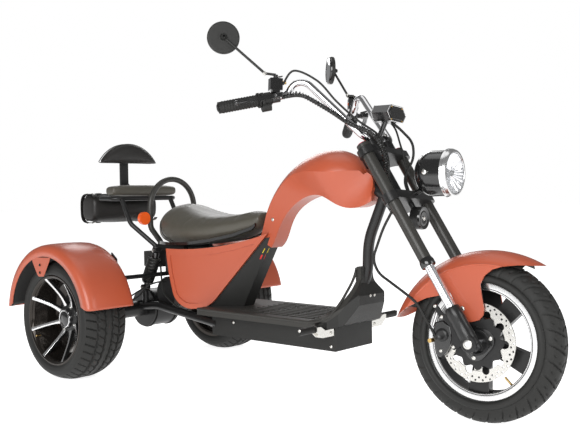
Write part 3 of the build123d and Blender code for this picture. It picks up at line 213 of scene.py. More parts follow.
def add_material(name, colour, rough, metal=0.0, grain=0.0, grain_scale=400.0, coat=0.0, sheen=0.0, alpha=1.0,
                 glow=0.0, shine=0.5):
    material = bpy.data.materials.new(name)
    material.use_nodes = True
    tree = material.node_tree
    shader = tree.nodes["Principled BSDF"]
    shader.inputs["Base Color"].default_value = (*colour, 1)
    shader.inputs["Roughness"].default_value = rough
    shader.inputs["Specular IOR Level"].default_value = shine
    shader.inputs["Metallic"].default_value = metal
    shader.inputs["Coat Weight"].default_value = coat
    shader.inputs["Coat Roughness"].default_value = 0.2
    shader.inputs["Emission Color"].default_value = (1, 1, 1, 1)
    shader.inputs["Emission Strength"].default_value = glow
    shader.inputs["Sheen Weight"].default_value = sheen
    shader.inputs["Alpha"].default_value = alpha
    if grain:
        add_grain(tree, shader, grain, grain_scale)
    MATERIALS[name] = material


GRAIN_HEIGHT = 0.0006
CLOUD_SCALE = 9
ROUGHNESS_SPREAD = 0.08


def add_grain(tree, shader, depth, scale):
    """A fine bump, and a little change in roughness from place to place."""
    place = tree.nodes.new("ShaderNodeTexCoord")
    speckle = tree.nodes.new("ShaderNodeTexNoise")
    speckle.inputs["Scale"].default_value = scale
    speckle.inputs["Detail"].default_value = 3
    bump = tree.nodes.new("ShaderNodeBump")
    bump.inputs["Strength"].default_value = depth
    bump.inputs["Distance"].default_value = GRAIN_HEIGHT
    tree.links.new(place.outputs["Object"], speckle.inputs["Vector"])
    tree.links.new(speckle.outputs["Fac"], bump.inputs["Height"])
    tree.links.new(bump.outputs["Normal"], shader.inputs["Normal"])
    cloudy = tree.nodes.new("ShaderNodeTexNoise")
    cloudy.inputs["Scale"].default_value = CLOUD_SCALE
    spread = tree.nodes.new("ShaderNodeMapRange")
    base = shader.inputs["Roughness"].default_value
    spread.inputs["To Min"].default_value = max(base - ROUGHNESS_SPREAD, 0)
    spread.inputs["To Max"].default_value = min(base + ROUGHNESS_SPREAD, 1)
    tree.links.new(place.outputs["Object"], cloudy.inputs["Vector"])
    tree.links.new(cloudy.outputs["Fac"], spread.inputs["Value"])
    tree.links.new(spread.outputs["Result"], shader.inputs["Roughness"])


FINISHES = {
    "orange": dict(colour=(0.40, 0.074, 0.03), rough=0.42, coat=0.3, grain=0.03, grain_scale=900),
    "black_paint": dict(colour=(0.012, 0.012, 0.012), rough=0.33, coat=0.08, grain=0.03, grain_scale=900,
                        shine=0.3),
    "satin_tube": dict(colour=(0.028, 0.027, 0.024), rough=0.36, grain=0.03, grain_scale=900, shine=0.4),
    "dark_plastic": dict(colour=(0.016, 0.016, 0.015), rough=0.5, grain=0.35, grain_scale=900, shine=0.3),
    "gloss_black": dict(colour=(0.008, 0.008, 0.008), rough=0.14, coat=0.5),
    "deck_rubber": dict(colour=(0.032, 0.031, 0.028), rough=0.62, grain=0.5, grain_scale=700, shine=0.35),
    "soft_rubber": dict(colour=(0.014, 0.014, 0.013), rough=0.6, grain=0.4, grain_scale=900, shine=0.3),
    "tyre": dict(colour=(0.018, 0.018, 0.017), rough=0.58, grain=0.4, grain_scale=600, shine=0.25),
    "chrome": dict(colour=(0.64, 0.64, 0.65), rough=0.06, metal=1.0),
    "steel": dict(colour=(0.62, 0.61, 0.58), rough=0.28, metal=1.0, grain=0.05, grain_scale=300),
    "alloy": dict(colour=(0.72, 0.72, 0.72), rough=0.22, metal=1.0),
    "fork_silver": dict(colour=(0.8, 0.8, 0.82), rough=0.2, metal=0.9),
    "black_chrome": dict(colour=(0.035, 0.03, 0.026), rough=0.16, metal=0.75),
    "brass": dict(colour=(0.62, 0.42, 0.16), rough=0.3, metal=1.0),
    "seat_vinyl": dict(colour=(0.058, 0.053, 0.04), rough=0.43, grain=0.55, grain_scale=520, sheen=0.1),
    "black_vinyl": dict(colour=(0.014, 0.013, 0.012), rough=0.45, grain=0.5, grain_scale=520, sheen=0.04,
                        shine=0.35),
    "thread": dict(colour=(0.02, 0.018, 0.014), rough=0.7),
    "lens": dict(colour=(0.9, 0.93, 0.95), rough=0.03, alpha=0.22, coat=1.0),
    "reflector": dict(colour=(0.9, 0.9, 0.92), rough=0.08, metal=1.0),
    "amber": dict(colour=(0.75, 0.1, 0.012), rough=0.18, coat=0.6),
    "red": dict(colour=(0.5, 0.01, 0.01), rough=0.18, coat=0.6),
    "sticker_yellow": dict(colour=(0.75, 0.58, 0.03), rough=0.4),
    "sticker_red": dict(colour=(0.6, 0.02, 0.015), rough=0.4),
    "fork_cap": dict(colour=(0.5, 0.03, 0.09), rough=0.3, metal=0.6),
    "screen": dict(colour=(0.01, 0.012, 0.014), rough=0.08, coat=1.0),
    "mirror_glass": dict(colour=(0.85, 0.86, 0.88), rough=0.03, metal=1.0),
    "floor": dict(colour=(0.9, 0.9, 0.9), rough=0.8, glow=0.84),
}
for name, values in FINISHES.items():
    add_material(name, **values)
print("materials", len(MATERIALS))

# %% [markdown]
# Each solid takes one finish. The rear rims are black with bright faces added later, and the
# front wheel keeps its black spokes.

# %% The solids' finishes
NODE_FINISH = {
    "orange": ("tank_cover", "side_panel_left", "side_panel_right", "rear_fender_left", "rear_fender_right",
               "front_fender"),
    "black_paint": ("main_frame", "tail_rails", "rear_rack", "shocks", "axle_housing", "drive_motor", "fender_bar",
                    "lower_clamp", "upper_clamp", "front_rim", "rear_rim_left", "rear_rim_right", "horn",
                    "front_caliper", "backrest_post"),
    "satin_tube": ("grab_hoop", "fork_tubes"),
    "dark_plastic": ("front_cover", "belly_panel", "switch_pods", "mirrors", "control_box", "battery_box"),
    "gloss_black": ("brake_controls", "display_pod", "headlight_bucket"),
    "deck_rubber": ("floorboard",),
    "soft_rubber": ("grips", "brake_hose", "control_loom", "display_lead", "footpeg_left", "footpeg_right"),
    "tyre": ("front_tyre", "rear_tyre_left", "rear_tyre_right"),
    "chrome": ("handlebar", "headlight_ring"),
    "steel": ("brake_disc", "peg_brackets"),
    "fork_silver": ("fork_sliders",),
    "seat_vinyl": ("seat",),
    "black_vinyl": ("backrest_pad", "rack_cushion", "tail_bag"),
    "lens": ("headlight_lens",),
    "amber": ("turn_lamps",),
    "red": ("tail_lamp",),
}


def paint(obj, name):
    obj.data.materials.clear()
    obj.data.materials.append(MATERIALS[name])


for name, members in NODE_FINISH.items():
    for member in members:
        paint(nodes[member], name)
print("finished", sum(len(members) for members in NODE_FINISH.values()), "of", len(nodes))

# %% [markdown]
# The added pieces are plain meshes whose objects stay at the origin. A few makers cover them all:
# a turned ring, a tube along a line, a plate with bevelled edges, a stack of rings that closes
# into a soft form, and two Geometry Nodes repeats, one round an axle and one over a set of places.

# %% Makers
ALONG_AXLE = Vector((0, 1, 0))
SHARP_EDGE = math.radians(38)
MERGE_DISTANCE = 0.00002


def add_piece(name, verts, faces, finish, body, smooth=True):
    mesh = bpy.data.meshes.new(name)
    mesh.from_pydata([tuple(v) for v in verts], [], faces)
    tidy = bmesh.new()
    tidy.from_mesh(mesh)
    bmesh.ops.remove_doubles(tidy, verts=tidy.verts, dist=1e-6)
    bmesh.ops.recalc_face_normals(tidy, faces=tidy.faces)
    tidy.to_mesh(mesh)
    tidy.free()
    obj = bpy.data.objects.new(name, mesh)
    bpy.context.collection.objects.link(obj)
    mesh.materials.append(MATERIALS[finish])
    if smooth:
        mesh.shade_smooth()
        mesh.set_sharp_from_angle(angle=SHARP_EDGE)
    if body:
        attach(obj, body)
    return obj


def grid_faces(rows, columns, wrap_rows=False, wrap_columns=False):
    faces = []
    for i in range(rows if wrap_rows else rows - 1):
        for j in range(columns if wrap_columns else columns - 1):
            a, b = i * columns + j, i * columns + (j + 1) % columns
            c, d = (i + 1) % rows * columns + (j + 1) % columns, (i + 1) % rows * columns + j
            faces.append((a, b, c, d))
    return faces


def lathe(name, profile, place, finish, body, steps=96):
    """A closed (across, radius) profile in millimetres, turned about the local Y axis."""
    verts = []
    for i in range(steps):
        turn = 2 * math.pi * i / steps
        for across, radius in profile:
            local = Vector((radius * math.cos(turn), across, radius * math.sin(turn))) * MM
            verts.append(place @ local)
    return add_piece(name, verts, grid_faces(steps, len(profile), True, True), finish, body)


def facing(place, way):
    """A matrix at a place whose local Y axis points along way."""
    turn = ALONG_AXLE.rotation_difference(Vector(way).normalized()).to_matrix().to_4x4()
    return Matrix.Translation(place) @ turn


def smooth_line(points, per=8):
    """A soft curve through the given points."""
    points = [Vector(p) for p in points]
    line = []
    for i in range(len(points) - 1):
        a, b = points[max(i - 1, 0)], points[i]
        c, d = points[i + 1], points[min(i + 2, len(points) - 1)]
        for k in range(per):
            t = k / per
            line.append(0.5 * ((2 * b) + (c - a) * t + (2 * a - 5 * b + 4 * c - d) * t ** 2
                               + (3 * b - a - 3 * c + d) * t ** 3))
    return line + [points[-1]]


def tube(name, line, radius, finish, body, sides=12, closed=False):
    """A round tube along a line of points; the radius is in millimetres."""
    line = [Vector(p) for p in line]
    count = len(line)
    verts, normal = [], None
    for i, point in enumerate(line):
        before = (i - 1) % count if closed else max(i - 1, 0)
        after = (i + 1) % count if closed else min(i + 1, count - 1)
        way = (line[after] - line[before]).normalized()
        if normal is None:
            normal = way.orthogonal().normalized()
        normal = (normal - way * normal.dot(way)).normalized()
        other = way.cross(normal)
        for k in range(sides):
            turn = 2 * math.pi * k / sides
            verts.append(point + (normal * math.cos(turn) + other * math.sin(turn)) * radius * MM)
    faces = grid_faces(count, sides, closed, True)
    if not closed:
        faces += [tuple(range(sides))[::-1], tuple(range((count - 1) * sides, count * sides))]
    return add_piece(name, verts, faces, finish, body)


def rod(name, start, end, radius, finish, body, sides=20):
    return tube(name, [start, (Vector(start) + Vector(end)) / 2, end], radius, finish, body, sides)


def stack(name, rings, finish, body):
    """Rings of equal length, joined in order and closed at both ends."""
    columns = len(rings[0])
    verts = [v for ring in rings for v in ring]
    faces = grid_faces(len(rings), columns, False, True)
    faces += [tuple(range(columns))[::-1], tuple(range((len(rings) - 1) * columns, len(rings) * columns))]
    return add_piece(name, verts, faces, finish, body)


def plate(name, outline, way, thick, finish, body, rim=0.6):
    """A flat plate: its outline in metres, pushed along way by thick millimetres, with a bevel."""
    way = Vector(way).normalized() * thick * MM
    outline = [Vector(p) for p in outline]
    obj = stack(name, [outline, [p + way for p in outline]], finish, body)
    bevel = obj.modifiers.new("bevel", "BEVEL")
    bevel.width = rim * MM
    bevel.segments = 2
    bevel.limit_method = "ANGLE"
    return make_plain(obj)


def make_plain(obj):
    """The evaluated mesh replaces the object's own, and its modifiers go."""
    depsgraph = bpy.context.evaluated_depsgraph_get()
    mesh = bpy.data.meshes.new_from_object(obj.evaluated_get(depsgraph))
    obj.modifiers.clear()
    obj.data = mesh
    return obj


def points_round_axle(tree, enter, place):
    """Count points at the origin, each instance turned by its share of a turn about Y."""
    new, link = tree.nodes.new, tree.links.new
    points, index, euler = new("GeometryNodePoints"), new("GeometryNodeInputIndex"), new("ShaderNodeCombineXYZ")
    share, turn = new("ShaderNodeMath"), new("ShaderNodeMath")
    share.operation, turn.operation = "DIVIDE", "MULTIPLY"
    turn.inputs[1].default_value = -2 * math.pi
    link(enter.outputs["Count"], points.inputs["Count"])
    link(index.outputs[0], share.inputs[0])
    link(enter.outputs["Count"], share.inputs[1])
    link(share.outputs[0], turn.inputs[0])
    link(turn.outputs[0], euler.inputs["Y"])
    link(points.outputs[0], place.inputs["Points"])
    link(euler.outputs[0], place.inputs["Rotation"])


def points_given(tree, enter, place):
    """The input's own points, each instance's Y axis turned to the point's aim."""
    new, link = tree.nodes.new, tree.links.new
    aim, align = new("GeometryNodeInputNamedAttribute"), new("FunctionNodeAlignRotationToVector")
    aim.data_type = "FLOAT_VECTOR"
    aim.inputs["Name"].default_value = "aim"
    align.axis = "Y"
    link(aim.outputs["Attribute"], align.inputs["Vector"])
    link(enter.outputs["Geometry"], place.inputs["Points"])
    link(align.outputs[0], place.inputs["Rotation"])


def thicken(obj, thick):
    """Gives a sheet its thickness, in millimetres, behind its faces."""
    shell = obj.modifiers.new("thick", "SOLIDIFY")
    shell.thickness = thick * MM
    shell.offset = -1
    return make_plain(obj)


def repeat_group(name, finish, around):
    """Instances of a piece, either round the Y axis or at the input's points, made real."""
    tree = bpy.data.node_groups.new(name, "GeometryNodeTree")
    new, link, socket = tree.nodes.new, tree.links.new, tree.interface.new_socket
    socket("Geometry", in_out="INPUT", socket_type="NodeSocketGeometry")
    piece = socket("Piece", in_out="INPUT", socket_type="NodeSocketObject")
    count = socket("Count", in_out="INPUT", socket_type="NodeSocketInt")
    socket("Geometry", in_out="OUTPUT", socket_type="NodeSocketGeometry")
    enter, leave = new("NodeGroupInput"), new("NodeGroupOutput")
    info, place = new("GeometryNodeObjectInfo"), new("GeometryNodeInstanceOnPoints")
    real, merge = new("GeometryNodeRealizeInstances"), new("GeometryNodeMergeByDistance")
    set_finish = new("GeometryNodeSetMaterial")
    merge.inputs["Distance"].default_value = MERGE_DISTANCE
    set_finish.inputs["Material"].default_value = MATERIALS[finish]
    link(enter.outputs["Piece"], info.inputs["Object"])
    link(info.outputs["Geometry"], place.inputs["Instance"])
    if around:
        points_round_axle(tree, enter, place)
    else:
        points_given(tree, enter, place)
    link(place.outputs[0], real.inputs[0])
    link(real.outputs[0], merge.inputs[0])
    link(merge.outputs[0], set_finish.inputs["Geometry"])
    link(set_finish.outputs[0], leave.inputs[0])
    return tree, piece.identifier, count.identifier


def run_repeat(obj, piece, count, finish, around, matrix, body):
    tree, piece_key, count_key = repeat_group(obj.name + "_repeat", finish, around)
    modifier = obj.modifiers.new("repeat", "NODES")
    modifier.node_group = tree
    modifier[piece_key] = piece
    modifier[count_key] = count
    make_plain(obj)
    obj.data.transform(matrix)
    obj.data.shade_smooth()
    obj.data.set_sharp_from_angle(angle=SHARP_EDGE)
    bpy.data.objects.remove(piece)
    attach(obj, body)
    return obj


def around_axle(name, piece, count, finish, matrix, body):
    """Copies of a piece, drawn about the local Y axis, round a wheel."""
    obj = add_piece(name, [(0, 0, 0)], [], finish, None, smooth=False)
    return run_repeat(obj, piece, count, finish, True, matrix, body)


def at_places(name, piece, places, finish, body):
    """Copies of a piece at (place, way) pairs, its local Y axis turned to each way."""
    obj = add_piece(name, [place for place, _ in places], [], finish, None, smooth=False)
    aim = obj.data.attributes.new("aim", "FLOAT_VECTOR", "POINT")
    for i, vertex in enumerate(obj.data.vertices):
        nearest = min(places, key=lambda pair: (vertex.co - Vector(pair[0])).length)
        aim.data[i].vector = Vector(nearest[1]).normalized()
    return run_repeat(obj, piece, len(places), finish, False, Matrix.Identity(4), body)


def bolt_piece(radius, high, hex_share=0.6):
    """A button head along +Y with a small socket."""
    profile = [(0, 0.01), (0, radius), (high * 0.5, radius), (high * 0.85, radius * 0.8), (high, radius * hex_share),
               (high, radius * 0.45), (high * 0.5, radius * 0.42), (high * 0.5, 0.01)]
    return lathe("bolt_piece", profile, Matrix.Identity(4), "steel", None, steps=12)


print("makers ready")

# %% [markdown]
# Each tyre is one tread pitch, modelled as a fine grid whose points sink into the grooves, and
# repeated round the axle. The front tyre has long curved grooves with small squares and hooked
# sipes between them; the rear tyres have rings of grooves and short cuts on the shoulders.

# %% Tyres
def arc_through(p, q, r, count):
    """Points on the circle through three points, from p to r."""
    (ax, ay), (bx, by), (cx, cy) = p, q, r
    d = 2 * (ax * (by - cy) + bx * (cy - ay) + cx * (ay - by))
    a2, b2, c2 = ax * ax + ay * ay, bx * bx + by * by, cx * cx + cy * cy
    ux = (a2 * (by - cy) + b2 * (cy - ay) + c2 * (ay - by)) / d
    uy = (a2 * (cx - bx) + b2 * (ax - cx) + c2 * (bx - ax)) / d
    size = math.hypot(ax - ux, ay - uy)
    start, end = math.atan2(ay - uy, ax - ux), math.atan2(cy - uy, cx - ux)
    through = math.atan2(by - uy, bx - ux)
    span = (end - start) % (2 * math.pi)
    if (through - start) % (2 * math.pi) > span:
        span -= 2 * math.pi
    return [(ux + size * math.cos(start + span * i / count), uy + size * math.sin(start + span * i / count))
            for i in range(count + 1)]


def soft_step(value):
    value = min(max(value, 0), 1)
    return value * value * (3 - 2 * value)


def groove(distance, half, depth):
    """Depth of a groove at this distance from its middle line, both in millimetres."""
    return depth * soft_step((half - abs(distance)) / 1.2 + 0.5)


def front_tread(across, along, pitch):
    """Depth at a point: across from the middle, along inside the pitch, all in millimetres."""
    side = 1 if across > 0 else -1
    reach = abs(across)
    along = (along + (pitch / 2 if side < 0 else 0)) % pitch
    curve = pitch * (0.12 + 0.78 * (reach / 52) ** 1.7)
    away = (along - curve + pitch / 2) % pitch - pitch / 2
    depth = groove(away, 2.9, 5.6) if 5 < reach < 51 else 0
    for row, shift in ((24, 0.62), (37, 0.78)):
        spot_along = (along - curve - pitch * (shift - 0.28) + pitch / 2) % pitch - pitch / 2
        if abs(reach - row) < 4.6 and abs(spot_along) < 4.6:
            depth = max(depth, min(groove(reach - row, 3.0, 4.0), groove(spot_along, 3.0, 4.0)))
    hook = (along - pitch * 0.55 + (reach - 10) * 0.9 + pitch / 2) % pitch - pitch / 2
    if 3 < reach < 15:
        depth = max(depth, groove(hook, 1.9, 4.4))
    return depth


def rear_tread(across, along, pitch):
    """The rear tyres' depth at a point, given as for the front one."""
    reach = abs(across)
    wave = 2.2 * math.sin(2 * math.pi * along / pitch)
    depth = max(groove(reach - 14 - wave * 0.4, 3.8, 6.5), groove(reach - 42 + wave * 0.4, 3.8, 6.5))
    cut = (along - (reach - 42) * 0.35 + pitch / 2) % pitch - pitch / 2
    if 46 < reach < 80:
        depth = max(depth, groove(cut - pitch * 0.2, 2.0, 5.4))
    inner = (along + across * 0.5 + pitch / 2) % pitch - pitch / 2
    if 19 < reach < 37:
        depth = max(depth, groove(inner, 1.6, 4.4))
    return depth


def tyre_outline(radius, half, crown, rim_radius, rim_half, tread_steps):
    """Closed outline of the tyre as (across, radius, tread share), in order round the section."""
    seat, bead, lip = rim_radius - 14, rim_half - 4, rim_radius + 0.3
    shoulder_half, shoulder = half - crown * 0.27, radius - crown
    wall = arc_through((rim_half, lip), (half, (lip + shoulder) / 2), (shoulder_half, shoulder), 10)
    top = arc_through((shoulder_half, shoulder), (half * 0.62, radius - crown * 0.27), (0, radius), tread_steps)
    right = [(p, r, 0) for p, r in [(bead, seat), (bead, lip)] + wall[:-1]] + [(p, r, 1) for p, r in top]
    left = [(-p, r, t) for p, r, t in right[::-1][1:]]
    return right + left + [(0, seat, 0)]


def add_tyre(name, sizes, pitches, steps, tread, tread_steps, body, node):
    """A tyre of so many tread pitches, each a grid of steps rows, with faint bands on its walls."""
    outline = tyre_outline(*sizes, tread_steps)
    radius, rim_radius = sizes[0], sizes[3]
    pitch = 2 * math.pi * radius / pitches
    verts = []
    for i in range(steps + 1):
        turn = 2 * math.pi / pitches * i / steps
        for across, size, treaded in outline:
            depth = tread(across, pitch * i / steps, pitch) if treaded else 0
            banded = not treaded and size > rim_radius + 5 and int((size - rim_radius) / 4) % 3 == 0
            size = size - depth
            across = across - math.copysign(BAND_DEPTH if banded else 0, across)
            verts.append(Vector((size * math.cos(turn), across, size * math.sin(turn))) * MM)
    piece = add_piece(name + "_pitch", verts, grid_faces(steps + 1, len(outline), False, True), "tyre", None)
    obj = around_axle(name, piece, pitches, "tyre", WHEEL_PLACES[body], body)
    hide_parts(node)


# Radius, half width, crown, rim radius and half the rim's width
FRONT_TYRE = (228, 57, 40, 166, 40)
REAR_TYRE = (215, 88, 20, 160, 82)
BAND_DEPTH = 0.7
add_tyre("front_tyre_skin", FRONT_TYRE, 30, 20, front_tread, 26, "front_wheel", "front_tyre")
for side in ("left", "right"):
    add_tyre("rear_tyre_skin_" + side, REAR_TYRE, 44, 9, rear_tread, 34, "rear_wheel_" + side, "rear_tyre_" + side)
print("tyres done")

# %% [markdown]
# The front rim has a polished lip on each side, a black barrel and a valve, and its hub has a
# three-lobed cover over the disc's carrier. Each rear rim is a deep dish with eight curved spokes
# whose faces are bright; every other one ends in a bolt's pocket beside the small cap.

# %% Wheel trim
def lip_profile(rim_radius, half, side, wide=4.0):
    """The rim's polished edge on one side, as a closed (across, radius) profile."""
    edge = half + 0.6
    low = rim_radius - 14 - 4.5
    points = [(edge - 4, rim_radius + 0.1), (edge, rim_radius - 0.4), (edge + 0.3, rim_radius - 5),
              (edge - 1, low - wide / 2), (edge - 3, low - wide), (edge - 5, low - wide), (edge - 6, low)]
    return [(side * a, r) for a, r in points]


front_place = WHEEL_PLACES["front_wheel"]
for side in (-1, 1):
    lathe(f"front_lip_{side}", lip_profile(166, 40, side), front_place, "alloy", "front_wheel")
REAR_BARREL = ((82, 160.2), (83.2, 158), (82.6, 153), (79, 147.5), (72, 143), (66, 141.5), (30, 140), (26, 137),
               (-20, 134), (-60, 134), (-80, 141), (-82, 150), (-82, 160), (-78, 160), (-78, 146), (78, 146),
               (78, 160.2))
REAR_HUB = ((36, 0.01), (36, 33), (33, 34.5), (27, 36), (25, 47), (20, 52), (8, 54), (4, 84), (-6, 88), (-36, 88),
            (-40, 60), (-40, 0.01))
REAR_CAP = ((36, 0.01), (36, 27), (38.5, 27), (41, 22), (43, 12), (43.6, 0.01))
CAP_RING = ((34, 26.6), (39.5, 27.4), (40.2, 29.5), (39, 32), (34, 33.4))
# Along one spoke from hub to lip: radius, how far out, half width, lean to the side
SPOKE = ((40, 24, 10.5, 0), (47, 25, 9.5, 0), (58, 28.5, 7, 1), (72, 34, 6, 2), (88, 42, 5.6, 2.6),
         (104, 52, 5.4, 2.4), (120, 62.5, 5.4, 1.6), (134, 72, 5.6, 0.8), (144, 79, 6, 0), (150, 82.4, 6.6, 0))
POCKET = ((0, 0.01), (0, 9.4), (1.6, 10.2), (1.6, 7.6), (0.6, 7), (0.6, 0.01))
BOLTED_TURN, PLAIN_TURN, POCKET_RADIUS, POCKET_OUT = 27.5, 72.5, 45, 24.5
VALVE_TURN, VALVE_RADIUS, VALVE_OUT, VALVE_LONG = 4.2, 138, 60, 18


def spoke_piece(sign, turn_deg, deep, proud, finish, wide=1.0):
    """One spoke of the rear wheel, its face raised by proud and its back deep millimetres behind."""
    turn = Matrix.Rotation(math.radians(turn_deg), 4, "Y")
    rings = []
    for radius, out, half, lean in SPOKE:
        half = half * wide
        face = out + proud
        edge = half * 0.6
        section = ((-half, -deep), (half, -deep), (half, -1.2), (edge, 0), (-edge, 0), (-half, -1.2))
        rings.append([turn @ (Vector((lean + dx, sign * (face + dy), radius)) * MM) for dx, dy in section])
    return stack("spoke_piece", rings, finish, None)


def turned_profile(profile, sign):
    return [(sign * across, radius) for across, radius in profile]


def round_wheel(turn, across, radius):
    """A point in a wheel's own frame: turned from straight up, out along the axle, in metres."""
    return Vector((radius * math.sin(turn), across, radius * math.cos(turn))) * MM


def add_rear_wheel(side):
    """A deep dished rim with eight curved spokes; every other one ends in a bolt's pocket."""
    sign = 1 if side == "left" else -1
    body = "rear_wheel_" + side
    place = WHEEL_PLACES[body]
    rim = lathe("rear_barrel_" + side, turned_profile(REAR_BARREL, sign), place, "black_chrome", body, 128)
    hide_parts("rear_rim_" + side)
    for name, profile, finish, steps in (("rear_hub_", REAR_HUB, "black_paint", 64),
                                         ("rear_cap_", REAR_CAP, "gloss_black", 48),
                                         ("rear_cap_ring_", CAP_RING, "alloy", 64)):
        lathe(name + side, turned_profile(profile, sign), place, finish, body, steps)
    for start, kind in ((BOLTED_TURN, "bolted"), (PLAIN_TURN, "plain")):
        back = spoke_piece(sign, start, 15, -0.4, "black_paint", 0.92)
        around_axle(f"rear_spokes_{kind}_{side}", back, 4, "black_paint", place, body)
        face = spoke_piece(sign, start, 2.4, 0.6, "alloy")
        around_axle(f"rear_spoke_faces_{kind}_{side}", face, 4, "alloy", place, body)
    turns = [math.radians(BOLTED_TURN + 90 * number) for number in range(4)]
    pockets = [(place @ round_wheel(turn, sign * POCKET_OUT, POCKET_RADIUS), (0, sign, 0)) for turn in turns]
    pocket = lathe("pocket_piece", POCKET, Matrix.Identity(4), "gloss_black", None, 24)
    at_places("lug_pockets_" + side, pocket, pockets, "gloss_black", body)
    at_places("lug_bolts_" + side, bolt_piece(4.4, 4.2), pockets, "steel", body)
    valve = place @ round_wheel(VALVE_TURN, sign * VALVE_OUT, VALVE_RADIUS)
    rod("rear_valve_" + side, valve, valve + Vector((0, sign * VALVE_LONG, 0)) * MM, 3, "brass", body, 12)


for side in ("left", "right"):
    add_rear_wheel(side)



def hub_ring(name, inner, reach, low, high, finish):
    """A ring on the front hub, from low to high across, whose outer radius is reach(turn)."""
    turns = [2 * math.pi * k / HUB_STEPS for k in range(HUB_STEPS)]
    verts = []
    for outer, across in ((False, high), (True, high), (True, low), (False, low)):
        for turn in turns:
            radius = reach(turn) if outer else inner
            verts.append(front_place @ (Vector((radius * math.cos(turn), across, radius * math.sin(turn))) * MM))
    return add_piece(name, verts, grid_faces(4, HUB_STEPS, True, True), finish, "front_wheel")


HUB_STEPS, LOBES, LOBE_TURN = 120, 3, 0.35
FRONT_VALVE_TURN = 2.478
hub_ring("carrier_face", 33, lambda turn: 72 + 5.5 * math.cos(turn * 12), -60.1, -60.6, "black_paint")
hub_ring("hub_cover", 31, lambda turn: 47 + 5 * math.cos(LOBES * (turn - LOBE_TURN)), -60.4, -68, "gloss_black")
hub_ring("hub_cover_rim", 30.5, lambda turn: 36, -67.8, -71, "black_paint")
axle_way = PARK.to_3x3() @ Vector((0, -1, 0))
cover_bolts = [(front_place @ (Vector((43 * math.cos(a), -68.2, 43 * math.sin(a))) * MM), axle_way)
               for a in [LOBE_TURN + 2 * math.pi * k / LOBES for k in range(LOBES)]]
at_places("disc_bolts", bolt_piece(6.5, 4), cover_bolts, "steel", "front_wheel")
lining = [(-39, 147.8), (39, 147.8), (39, 146.6), (-39, 146.6)]
lathe("front_barrel_lining", lining, front_place, "black_paint", "front_wheel", 128)
valve, valve_end = (front_place @ round_wheel(FRONT_VALVE_TURN, *end) for end in ((-26, 145), (-36, 116)))
rod("front_valve", valve, valve_end, 3.2, "brass", "front_wheel", 12)
print("wheel trim done")

# %% [markdown]
# The saddle is lofted from sections along its length: a crowned hump at the back, a dish for the
# rider and a narrow nose that turns up. The cushions are closed, crowned forms. Each padded piece
# is swelled by a short cloth run with its movement capped, and its seams are laid on afterwards.

# %% Soft goods
def table_at(rows, value):
    """Linear look-up in rows of (key, result)."""
    keys = [row[0] for row in rows]
    return float(np.interp(value, keys, [row[1] for row in rows]))


CLOTH_FRAMES = 20


def swell(obj, voxel, pressure, cap, finish):
    """Remeshes a closed form and puffs it with cloth, moving no point further than cap."""
    remesh = obj.modifiers.new("remesh", "REMESH")
    remesh.mode = "VOXEL"
    remesh.voxel_size = voxel * MM
    make_plain(obj)
    start = np.empty(len(obj.data.vertices) * 3)
    obj.data.vertices.foreach_get("co", start)
    cloth = obj.modifiers.new("cloth", "CLOTH")
    cloth.settings.use_pressure = True
    cloth.settings.uniform_pressure_force = pressure
    cloth.settings.effector_weights.gravity = 0
    cloth.settings.quality = 4
    for number in range(1, CLOTH_FRAMES + 1):
        scene.frame_set(number)
    make_plain(obj)
    end = np.empty(len(obj.data.vertices) * 3)
    obj.data.vertices.foreach_get("co", end)
    move = (end - start).reshape(-1, 3)
    length = np.maximum(np.linalg.norm(move, axis=1), 1e-9)
    capped = move * np.minimum(1, cap * MM / length)[:, None]
    obj.data.vertices.foreach_set("co", (start.reshape(-1, 3) + capped).ravel())
    scene.frame_set(1)
    finer = obj.modifiers.new("finer", "SUBSURF")
    finer.levels = finer.render_levels = 1
    make_plain(obj)
    obj.data.materials.clear()
    obj.data.materials.append(MATERIALS[finish])
    obj.data.shade_smooth()
    return obj


# The saddle's heights and half widths along its length, as (ahead of the rear axle, value)
SEAT_TOP = ((140, 552), (146, 588), (160, 606), (185, 617), (215, 620), (250, 613), (290, 601), (340, 588),
            (400, 579), (455, 577), (510, 581), (560, 590), (595, 597), (609, 595), (615, 585))
SEAT_HALF = ((140, 78), (146, 96), (160, 112), (185, 126), (215, 134), (250, 137), (300, 138), (350, 134),
             (400, 124), (450, 108), (500, 88), (550, 69), (595, 52), (609, 46), (615, 38))
SEAT_LOW = ((140, 486), (160, 470), (230, 467), (330, 471), (430, 484), (520, 504), (590, 530), (609, 552),
            (615, 566))
SEAT_EDGE_DROP = ((140, 20), (200, 44), (260, 42), (340, 26), (430, 16), (520, 12), (615, 8))
SEAT_STEPS = (142, 146, 152, 160, 172, 188, 206, 226, 248, 272, 298, 326, 356, 388, 420, 452, 484, 514, 542, 568,
              590, 602, 609, 613)
# A crowned face as (share of the thickness, share of the outline's size)
PILLOW_STEPS = ((-1.0, 0.02), (-0.99, 0.45), (-0.93, 0.74), (-0.78, 0.9), (-0.5, 0.975), (-0.2, 1.0), (0.2, 1.0),
                (0.5, 0.975), (0.78, 0.9), (0.93, 0.74), (0.99, 0.45), (1.0, 0.02))


def seat_section(x, grow=0.0, count=44):
    """One section round the saddle: crowned top, rounded shoulders, sides tucked in below."""
    top, half = table_at(SEAT_TOP, x) - 4 + grow, table_at(SEAT_HALF, x) - 4 + grow
    low, drop = table_at(SEAT_LOW, x) + 2, table_at(SEAT_EDGE_DROP, x)
    ring = []
    for k in range(count):
        turn = 2 * math.pi * k / count
        c, s = math.cos(turn), math.sin(turn)
        side = math.copysign(abs(c) ** 0.55, c)
        rise = math.copysign(abs(s) ** 0.7, s)
        middle = (top - drop + low) / 2
        z = middle + rise * (top - drop - low) / 2
        if s > 0:
            z += drop * (1 - side * side)
        tuck = 1 - 0.1 * soft_step((middle - z) / max(middle - low, 1))
        ring.append(spot(x, half * side * tuck, z))
    return ring


